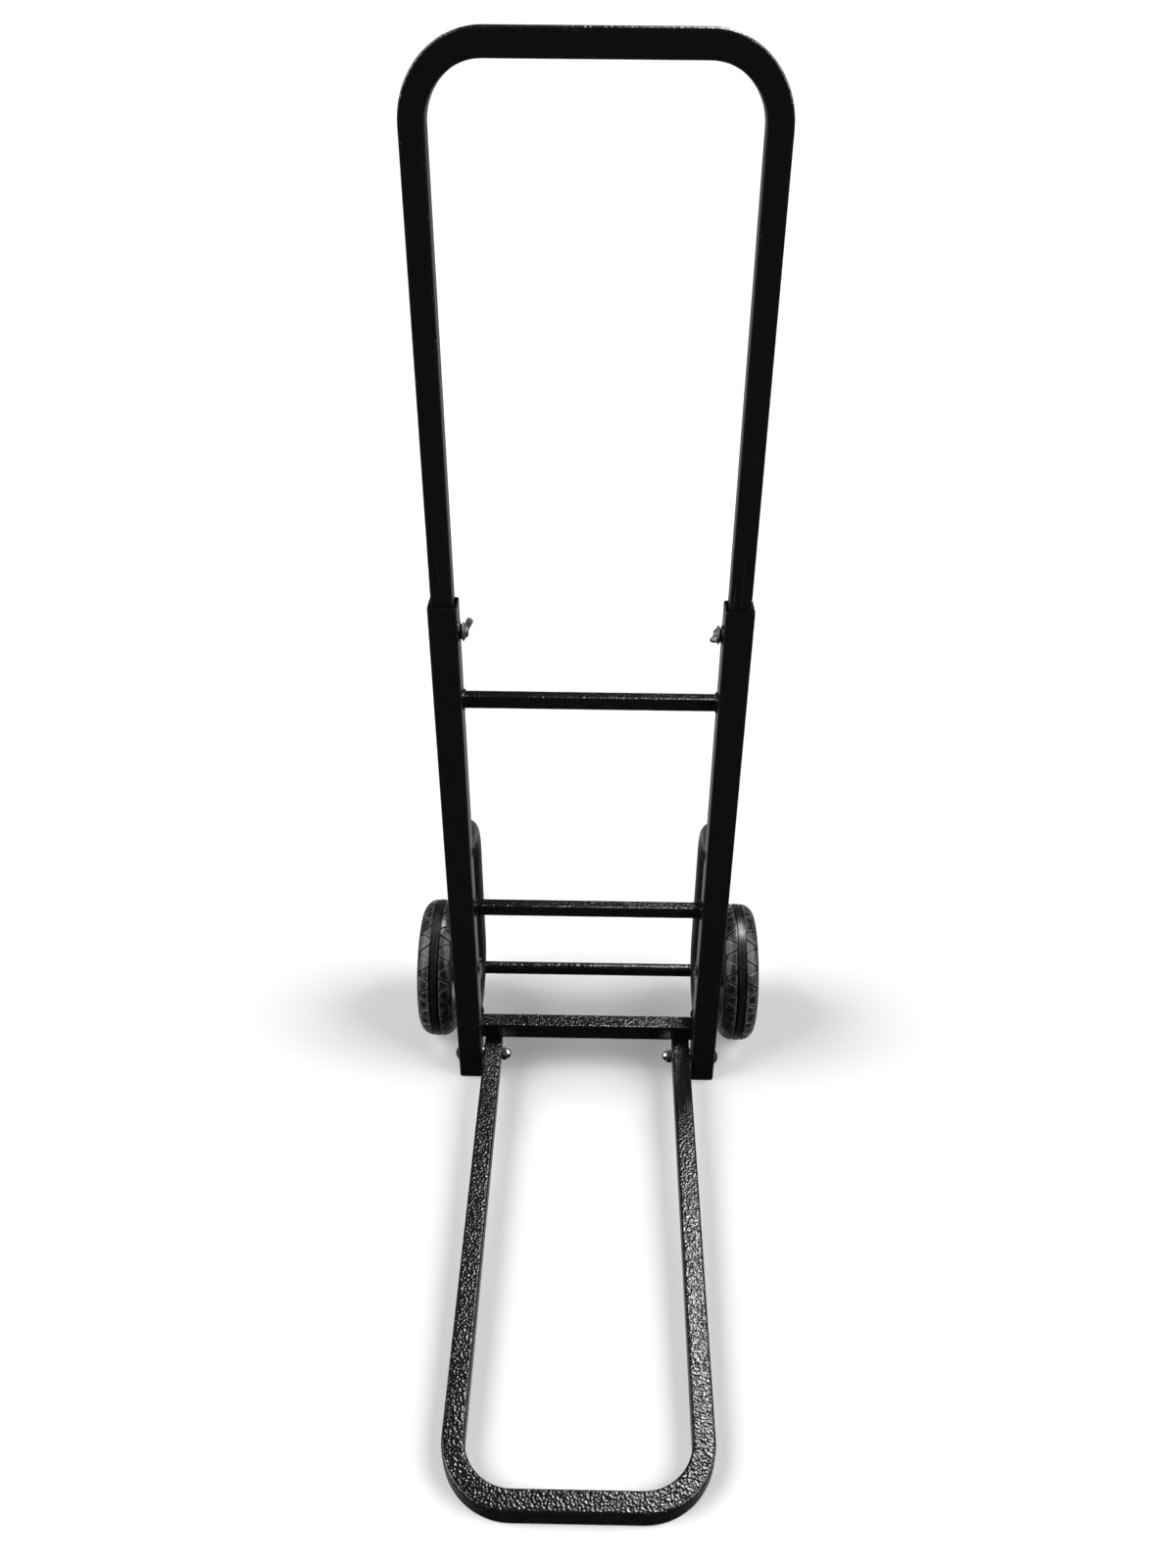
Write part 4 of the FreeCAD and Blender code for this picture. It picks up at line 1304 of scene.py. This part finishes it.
@dataclass
class Nose:
    """The folding nose and the bolts that it turns on."""

    body: str = "nose"
    fixed_body: str = "frame"
    wall: float = 1.5 * MM
    corner: float = 2.2 * MM
    bend: float = 50.5 * MM
    plug_plate: float = 2.0 * MM
    plug_insert: float = 12 * MM
    plug_gap: float = 0.1 * MM
    bolt_thread: float = 4 * MM
    bolt_bore: float = 4.1 * MM
    acorn_hex: float = 5.5 * MM
    acorn_shelf: float = 0.7 * MM

    def slope(self) -> Tuple[float, float]:
        """Return the nose's droop, in radians, and its length from the pivot to its front."""
        block = Block("nose_loop")
        pivot = Block("pivot_bolt_left").centre
        half = Block("nose_plug_left").size.x / 2
        reach, drop = pivot.y - block.low.y, pivot.z - half
        angle = 0.0
        for _ in range(6):
            angle = math.atan2(drop, reach - half * math.sin(angle))
        return angle, drop / math.sin(angle)

    def loop(self) -> None:
        """Make the bent loop and the plugs in its rear ends."""
        droop, length = self.slope()
        plug = Block("nose_plug_left")
        side = plug.size.x
        pivot = Block("pivot_bolt_left").centre
        level = Vector((0, -math.cos(droop), -math.sin(droop)))
        block = Block("nose_loop")
        arm_x = block.low.x + side / 2
        rear_y = plug.high.y - (side / 2) * math.sin(droop)
        overhang = (rear_y - pivot.y) / math.cos(droop) - self.plug_plate
        start = Vector((arm_x, pivot.y, pivot.z)) - level * overhang
        normal = level.cross(X_AXIS)
        span = block.size.x - side - 2 * self.bend
        run = length - side / 2 - self.bend + overhang
        route = Route(start, level, normal)
        route.run(run).arc(self.bend, math.pi / 2).run(span).arc(self.bend, math.pi / 2)
        route.run(run)
        mesh = tube("nose_loop", route, Section(side, self.corner, self.wall))
        add_piece("nose_tube", mesh, ENAMEL, self.body, ["nose_loop"])
        for which in Side:
            self.plug(which, start, level, side)

    def plug(self, which: Side, start: Vector, level: Vector, side: float) -> None:
        """Make the plug in one rear end.

        Args:
            which: The arm that it closes.
            start: The left arm's rear end.
            level: The direction of the arms, forwards.
            side: The side of its square tube.
        """
        name = "nose_plug_" + which.word
        bore = side - 2 * (self.wall + self.plug_gap)
        edge = 0.7 * MM
        plate = self.plug_plate
        levels = [(plate, side - 2 * edge, self.corner), (plate * 0.75, side - 0.4 * MM,
                                                          self.corner),
                  (plate * 0.45, side, self.corner), (0, side, self.corner),
                  (0, bore, edge), (-self.plug_insert, bore, edge)]
        spot = Vector((-which.value * start.x, start.y, start.z))
        mesh = pillow(name, levels, spot, -level, X_AXIS)
        add_piece(name + "_moulding", mesh, FOOT_PLASTIC, self.body, [name])

    def pivots(self) -> None:
        """Make the domed bolts, the spacers and the acorn nuts of the pivot."""
        for which in Side:
            bolt = Block("pivot_bolt_" + which.word)
            nut = Block("pivot_nut_" + which.word)
            spacer = Block("pivot_spacer_" + which.word)
            rail = Block("rail_" + which.word)
            self.bolt(which, bolt, at_x(which, outer_x(rail), bolt.centre))
            self.acorn(which, nut, at_x(which, outer_x(nut), bolt.centre))
            steel = PlatedSteel(f"spacer_zinc_{which.word}", Slot.BRIGHT_ZINC,
                                tuple(spacer.centre), (0.62, 0.62, 0.60), (0.42, 0.41, 0.38))
            ring = washer_outline(spacer.size.x, self.bolt_bore, spacer.size.z / 2)
            mesh = turned("pivot_spacer", fixed(ring), spacer.centre, segments=56)
            add_piece(f"pivot_spacer_{which.word}_ring", mesh, steel, self.body,
                      [f"pivot_spacer_{which.word}"])

    def bolt(self, which: Side, block: Block, seat: Vector) -> None:
        """Make one domed bolt.

        Args:
            which: The side of the truck.
            block: The bolt's box.
            seat: The middle of its head's flat side.
        """
        outward = which.value
        head = block.size.z / 2
        rise = outer_x(block) - abs(seat.x)
        grip = block.size.x - rise
        dome = (head ** 2 + rise ** 2) / (2 * rise)
        thread = self.bolt_thread
        cap = [(0.0, thread), (0.0, head - 0.3 * MM), (0.25 * MM, head)]
        for n in range(1, 15):
            angle = math.asin(head / dome) * (1 - n / 14)
            cap.append((rise - dome + dome * math.cos(angle), dome * math.sin(angle)))
        outline = [(-grip, 0.0), (-grip, thread * 0.8), (-grip + 0.8 * MM, thread)] + cap
        mesh = turned("pivot_bolt", fixed(outline), seat, outward, segments=56)
        steel = PlatedSteel(f"black_oxide_{which.word}", Slot.OXIDE, tuple(seat),
                            (0.030, 0.030, 0.032), (0.050, 0.046, 0.042), 0.24, 0.75)
        add_piece(f"pivot_bolt_{which.word}_steel", mesh, steel, self.fixed_body,
                  [f"pivot_bolt_{which.word}"])

    def acorn(self, which: Side, block: Block, seat: Vector) -> None:
        """Make one domed nut.

        Args:
            which: The side of the truck.
            block: The nut's box.
            seat: The middle of its flat face.
        """
        inward = -which.value
        flats = block.size.z
        length = block.size.x
        hex_length = self.acorn_hex
        neck = flats / 2 - self.acorn_shelf
        rise = length - hex_length
        base = hexagon(flats, hex_length, 0.0)
        dome = (rise ** 2 + neck ** 2) / (2 * rise)

        def outline(angle: float) -> Sequence[Pair]:
            """Return the nut's outline at this angle."""
            points = list(base(angle))[:-1]
            points.append((hex_length, neck + 0.25 * MM))
            half = math.asin(min(1.0, neck / dome)) if rise <= neck else (
                math.pi - math.asin(min(1.0, neck / dome)))
            for n in range(13):
                turn = half * (1 - n / 12)
                points.append((length - dome + dome * math.cos(turn),
                               max(dome * math.sin(turn), 0.0)))
            return points

        mesh = turned("pivot_nut", outline, seat, inward, segments=96, smooth=24)
        steel = PlatedSteel(f"acorn_zinc_{which.word}", Slot.BRIGHT_ZINC, tuple(seat),
                            (0.74, 0.74, 0.75), (0.52, 0.51, 0.49), 0.10)
        add_piece(f"pivot_nut_{which.word}_acorn", mesh, steel, self.fixed_body,
                  [f"pivot_nut_{which.word}"])

    def build(self) -> None:
        """Make the nose and its pivots."""
        self.loop()
        self.pivots()


def washer_outline(width: float, bore: float, radius: float) -> List[Pair]:
    """Return the outline of a washer or collar whose edges are broken, about its middle."""
    half, edge = width / 2, min(0.3 * MM, width / 4)
    return rounded([(-half, bore, edge), (half, bore, edge), (half, radius, edge),
                    (-half, radius, edge)], steps=3)


@dataclass
class Wheel:
    """One wheel with its treaded tyre, and what holds it on the axle."""

    side: Side
    tread_count: int = 20
    rib: float = 3.0 * MM
    groove: float = 2.4 * MM
    groove_depth: float = 2.6 * MM
    block_depth: float = 1.9 * MM
    shoulder: float = 16.3 * MM
    cut: float = 0.95 * MM
    bead_radius: float = 56 * MM
    waist_rise: float = 8 * MM
    wall_inset: float = 0.14 * MM
    axle_gap: float = 0.05 * MM
    block_sink: float = 0.3 * MM
    broken_edge: float = 0.45 * MM

    def __post_init__(self) -> None:
        """Take the wheel's place and size from the frame."""
        tyre = Block("tyre_" + self.side.word)
        self.body = "wheel_" + self.side.word
        self.centre = tyre.centre
        self.radius = tyre.size.z / 2
        self.half = tyre.size.x / 2 - self.wall_inset
        self.bore = Block("axle").size.z / 2 + self.axle_gap
        self.rubber = TyreRubber(tuple(self.centre), self.radius,
                                 "tyre_rubber_" + self.side.word)

    def crown(self, across: float) -> float:
        """Return the tyre's radius at a distance from its middle plane."""
        waist = self.bead_radius + self.waist_rise
        share = min(abs(across) / self.half, 1.0) ** 3
        return waist + (self.radius - waist) * (1 - share) ** (1 / 1.5)

    def carcass(self) -> bpy.types.Mesh:
        """Make the tyre's body: bead, ridged side walls, rounded shoulders and centre rib."""
        half, bead = self.half, self.bead_radius
        start = self.rib + self.groove
        floor = self.radius - self.groove_depth
        right = [(self.rib - 0.35 * MM, self.radius), (self.rib, self.radius - 0.35 * MM),
                 (self.rib + 0.3 * MM, floor), (start - 0.2 * MM, floor)]
        band = 5
        for n in range(band + 1):
            across = start + (self.shoulder - start) * n / band
            right.append((across, self.crown(across) - self.block_depth))
        for n in range(9):
            across = self.shoulder + (half - self.shoulder) * math.sin(math.pi / 2 * n / 8)
            right.append((across, self.crown(across)))
        right += [(half, bead + 7.4 * MM), (half - 0.25 * MM, bead + 6.9 * MM),
                  (half - 0.25 * MM, bead + 6.3 * MM), (half - 0.5 * MM, bead + 5.9 * MM),
                  (half - 1.3 * MM, bead + 3.4 * MM), (half - 1.9 * MM, bead + 3.1 * MM),
                  (half - 2.0 * MM, bead + 1.6 * MM), (half - 3.0 * MM, bead + 0.3 * MM),
                  (half - 4.0 * MM, bead)]
        left = [(-a, r) for a, r in reversed(right)]
        return turned("tyre", fixed(left + right), Vector((0, 0, 0)), segments=180)

    def block(self, inner: Pair, outer: Pair, near: float, far: float, sign: float,
              into_shoulder: bool) -> Tuple[List[Vector], List[List[int]], List[float]]:
        """Make one tread block as a curved patch with walls and a broken top edge.

        Args:
            inner: Its two ends along the tread at its inner side, in shares of a period.
            outer: The same at its outer side.
            near: Its inner side's distance from the middle plane.
            far: Its outer side's distance.
            sign: Which half of the tread it lies on.
            into_shoulder: Whether it runs into the shoulder without a gap.

        Returns:
            Its vertices, its faces, and 1 for each vertex on its broken edge.
        """
        rows, columns = 4, 5
        period = FULL_TURN / self.tread_count
        lap = period * self.radius
        edge = self.broken_edge
        points: List[Vector] = []
        faces: List[List[int]] = []
        edge_marks: List[float] = []
        grids = []
        for inset, depth in ((0.0, self.block_depth + self.block_sink), (0.0, edge),
                             (edge, 0.0)):
            grid = []
            low = near + inset
            high = far - (0.0 if into_shoulder else inset)
            for row in range(rows + 1):
                share = row / rows
                across = low + (high - low) * share
                start = (inner[0] + (outer[0] - inner[0]) * share) * lap + self.cut + inset
                end = (inner[1] + (outer[1] - inner[1]) * share) * lap - self.cut - inset
                if end < start:
                    start = end = (start + end) / 2
                line = []
                for column in range(columns + 1):
                    angle = (start + (end - start) * column / columns) / self.radius
                    radius = self.crown(across) - depth
                    line.append(len(points))
                    rim = depth == edge or (depth == 0.0 and (
                        row in (0, rows) or column in (0, columns)))
                    edge_marks.append(1.0 if rim else 0.0)
                    points.append(Vector((sign * across, radius * math.cos(angle),
                                          radius * math.sin(angle))))
                grid.append(line)
            grids.append(grid)
        for grid in (grids[0], grids[-1]):
            for row in range(rows):
                for column in range(columns):
                    faces.append([grid[row][column], grid[row][column + 1],
                                  grid[row + 1][column + 1], grid[row + 1][column]])
        for low_grid, high_grid in zip(grids, grids[1:]):
            low_ring, high_ring = (border(g) for g in (low_grid, high_grid))
            for n in range(len(low_ring)):
                m = (n + 1) % len(low_ring)
                faces.append([low_ring[n], low_ring[m], high_ring[m], high_ring[n]])
        return points, faces, edge_marks

    def tread(self) -> bpy.types.Mesh:
        """Make one period of the tread: a triangle and a wedge on each side, set round."""
        near = self.rib + self.groove
        far = self.shoulder - 0.3 * MM
        points: List[Vector] = []
        faces: List[List[int]] = []
        marks: List[float] = []
        base, tip = 0.17, 0.44
        for sign, shift in ((1.0, 0.0), (-1.0, 0.5)):
            triangle = ((shift + base, shift + 1 - base), (shift + tip, shift + 1 - tip))
            wedge = ((shift + 1 - base, shift + 1 + base), (shift + 1 - tip, shift + 1 + tip))
            for (inner, outer), into in ((triangle, False), (wedge, True)):
                end = far + 0.6 * MM if into else far - 0.5 * MM
                more, cells, rims = self.block(inner, outer, near, end, sign, into)
                faces += [[len(points) + n for n in cell] for cell in cells]
                points += more
                marks += rims
        period = mesh_of("tread_period", points, faces, marks)
        return TREAD_RING.grow("tread", period, {"Count": self.tread_count}, self.rubber)

    def tyre(self) -> None:
        """Make the whole tyre."""
        whole = joined("tyre", [self.carcass(), self.tread()])
        whole.transform(Matrix.Translation(self.centre))
        name = "tyre_" + self.side.word
        add_piece(name + "_treaded", whole, self.rubber, self.body, [name])

    def hardware(self) -> None:
        """Make the washers, collar and cap on the axle, and dress the core and bushings."""
        word = self.side.word
        dress("wheel_core_" + word, CORE_PLASTIC)
        for where in ("inner", "outer"):
            dress(f"bushing_{where}_{word}", GREY_NYLON)
            self.ring(f"axle_washer_{where}_{word}")
        self.ring("axle_collar_" + word)
        self.cap("axle_cap_" + word)

    def ring(self, node: str) -> None:
        """Make a washer or collar on the axle."""
        block = Block(node)
        steel = PlatedSteel("washer_zinc_" + self.side.word, Slot.BRIGHT_ZINC,
                            tuple(self.centre), (0.60, 0.60, 0.59), (0.40, 0.39, 0.37), 0.2)
        outline = washer_outline(block.size.x, self.bore, block.size.z / 2)
        mesh = turned(node, fixed(outline), block.centre, segments=56)
        add_piece(node + "_ring", mesh, steel, "frame", [node])

    def cap(self, node: str) -> None:
        """Make the domed cap on the axle's end."""
        block = Block(node)
        outward = self.side.value
        length, radius = block.size.x, block.size.z / 2
        start = Vector((outward * min(abs(block.low.x), abs(block.high.x)), block.centre.y,
                        block.centre.z))
        floor = length - 2.2 * MM
        outline = rounded([(floor, 0, 0), (floor, self.bore, 0), (0, self.bore, 0.2 * MM),
                           (0, radius, 0.3 * MM), (length - 1.6 * MM, radius, 2.0 * MM),
                           (length, radius - 4.6 * MM, 2.4 * MM), (length, 0, 0)],
                          closed=False)
        mesh = turned(node, fixed(outline), start, outward, segments=56)
        steel = PlatedSteel("cap_zinc_" + self.side.word, Slot.BRIGHT_ZINC,
                            tuple(self.centre), (0.62, 0.62, 0.62), (0.44, 0.43, 0.41), 0.14)
        add_piece(node + "_dome", mesh, steel, "frame", [node])

    def build(self) -> None:
        """Make the wheel and its hardware."""
        self.tyre()
        self.hardware()


def border(grid: Sequence[Sequence[int]]) -> List[int]:
    """Return the outer ring of a grid of vertex numbers, in order."""
    bottom = list(grid[0])
    right = [line[-1] for line in grid[1:]]
    top = list(reversed(grid[-1][:-1]))
    left = [line[0] for line in reversed(grid[1:-1])]
    return bottom + right + top + left


TREAD_RING = ring_tree()


# ---------------------------------------------------------------------------------------------
# The studio


@dataclass
class Studio:
    """A pale floor, a soft sun to each side, a lamp above and behind, and the camera."""

    eye: Triple = (0.00831, -0.79487, 1.02497)
    pitch: float = 0.591
    yaw: float = 0.010
    roll: float = 0.009
    lens: float = 18.75
    sensor: float = 24.0
    floor_reach: float = 60.0
    sun_way: Triple = (0.80, -0.10, 0.59)
    sun_width: float = math.radians(56)
    sun_power: float = 3.7
    lamp_spot: Triple = (0.52, 1.30, 2.5)
    lamp_aim: Triple = (0.1, -0.2, 0.1)
    lamp_size: Pair = (0.6, 0.9)
    lamp_power: float = 60.0
    sky_front: float = 0.012
    sky_back: float = 1.0
    sky_low: float = 0.30
    sky_high: float = 0.04

    def camera(self) -> None:
        """Put the camera in front of the truck, above it and looking down."""
        ahead = Vector((-math.sin(self.yaw), math.cos(self.yaw), 0))
        right = Vector((math.cos(self.yaw), math.sin(self.yaw), 0))
        look = ahead * math.cos(self.pitch) - Z_AXIS * math.sin(self.pitch)
        up = ahead * math.sin(self.pitch) + Z_AXIS * math.cos(self.pitch)
        x_way = right * math.cos(self.roll) + up * math.sin(self.roll)
        y_way = up * math.cos(self.roll) - right * math.sin(self.roll)
        data = bpy.data.cameras.new("camera")
        data.sensor_fit = "AUTO"
        data.sensor_width = self.sensor
        data.lens = self.lens
        data.clip_end = 200.0
        camera = bpy.data.objects.new("camera", data)
        bpy.context.scene.collection.objects.link(camera)
        turn = Matrix((x_way, y_way, -look)).transposed().to_4x4()
        camera.matrix_world = Matrix.Translation(self.eye) @ turn
        bpy.context.scene.camera = camera

    def floor(self) -> None:
        """Lay the floor, which isn't mirrored in the enamel, so that black stays black."""
        reach = self.floor_reach
        mesh = bpy.data.meshes.new("floor")
        corners = [(-reach, -reach, 0), (reach, -reach, 0), (reach, reach, 0),
                   (-reach, reach, 0)]
        mesh.from_pydata(corners, [], [(0, 1, 2, 3)])
        s = Shader("floor_paint")
        mottle = s.noise(s.place(), 3.0, 3.0)
        colour = s.blend(mottle, (0.84, 0.84, 0.84), (0.86, 0.86, 0.86))
        mesh.materials.append(s.finish({"Base Color": colour, "Roughness": 0.9,
                                        "Specular IOR Level": 0.1}))
        floor = bpy.data.objects.new("floor", mesh)
        floor.visible_glossy = False
        bpy.context.scene.collection.objects.link(floor)

    def lamp(self) -> None:
        """Hang the lamp, which shows in the gloss and leaves matt faces alone."""
        data = bpy.data.lights.new("ceiling_lamp", "AREA")
        data.shape = "RECTANGLE"
        data.size, data.size_y = self.lamp_size
        data.energy = self.lamp_power
        lamp = bpy.data.objects.new("ceiling_lamp", data)
        bpy.context.scene.collection.objects.link(lamp)
        way = Vector(self.lamp_aim) - Vector(self.lamp_spot)
        turn = way.to_track_quat("-Z", "Y").to_matrix().to_4x4()
        lamp.matrix_world = Matrix.Translation(self.lamp_spot) @ turn
        lamp.visible_diffuse = False

    def sun(self, side: Side) -> None:
        """Hang one far, soft light that falls evenly on the whole floor from one side."""
        name = side.word + "_sun"
        data = bpy.data.lights.new(name, "SUN")
        data.energy = self.sun_power
        data.angle = self.sun_width
        sun = bpy.data.objects.new(name, data)
        bpy.context.scene.collection.objects.link(sun)
        out, along, up = self.sun_way
        toward = Vector((side.value * out, along, up))
        sun.matrix_world = toward.to_track_quat("Z", "Y").to_matrix().to_4x4()

    def sky(self) -> None:
        """Surround the truck: dark on the camera's side, dim high behind, brighter low behind."""
        world = bpy.data.worlds.new("studio")
        bpy.context.scene.world = world
        world.use_nodes = True
        nodes, links = world.node_tree.nodes, world.node_tree.links
        nodes.clear()
        where = nodes.new("ShaderNodeTexCoord")
        split = nodes.new("ShaderNodeSeparateXYZ")
        links.new(where.outputs["Generated"], split.inputs[0])
        product = nodes.new("ShaderNodeMath")
        product.operation = "MULTIPLY"
        bands = (("Y", -0.25, 0.55, self.sky_front, self.sky_back),
                 ("Z", -0.22, 0.04, self.sky_low, self.sky_high))
        for number, (letter, *limits) in enumerate(bands):
            band = nodes.new("ShaderNodeMapRange")
            band.interpolation_type = "SMOOTHSTEP"
            for label, value in zip(("From Min", "From Max", "To Min", "To Max"), limits):
                band.inputs[label].default_value = value
            links.new(split.outputs[letter], band.inputs["Value"])
            links.new(band.outputs["Result"], product.inputs[number])
        glow = nodes.new("ShaderNodeBackground")
        glow.inputs["Color"].default_value = (1.0, 1.0, 1.0, 1.0)
        links.new(product.outputs[0], glow.inputs["Strength"])
        output = nodes.new("ShaderNodeOutputWorld")
        links.new(glow.outputs["Background"], output.inputs["Surface"])

    def build(self) -> None:
        """Set the whole studio up."""
        self.camera()
        self.floor()
        self.sky()
        for side in Side:
            self.sun(side)
        self.lamp()
        bpy.context.scene.view_settings.view_transform = "Standard"


def main() -> None:
    """Build the studio and every piece of the truck."""
    logging.basicConfig(level=logging.INFO, format="%(name)s %(message)s")
    Studio().build()
    Weldment().build()
    Handle().build()
    Nose().build()
    for side in Side:
        Wheel(side).build()


if __name__ == "__main__":
    main()
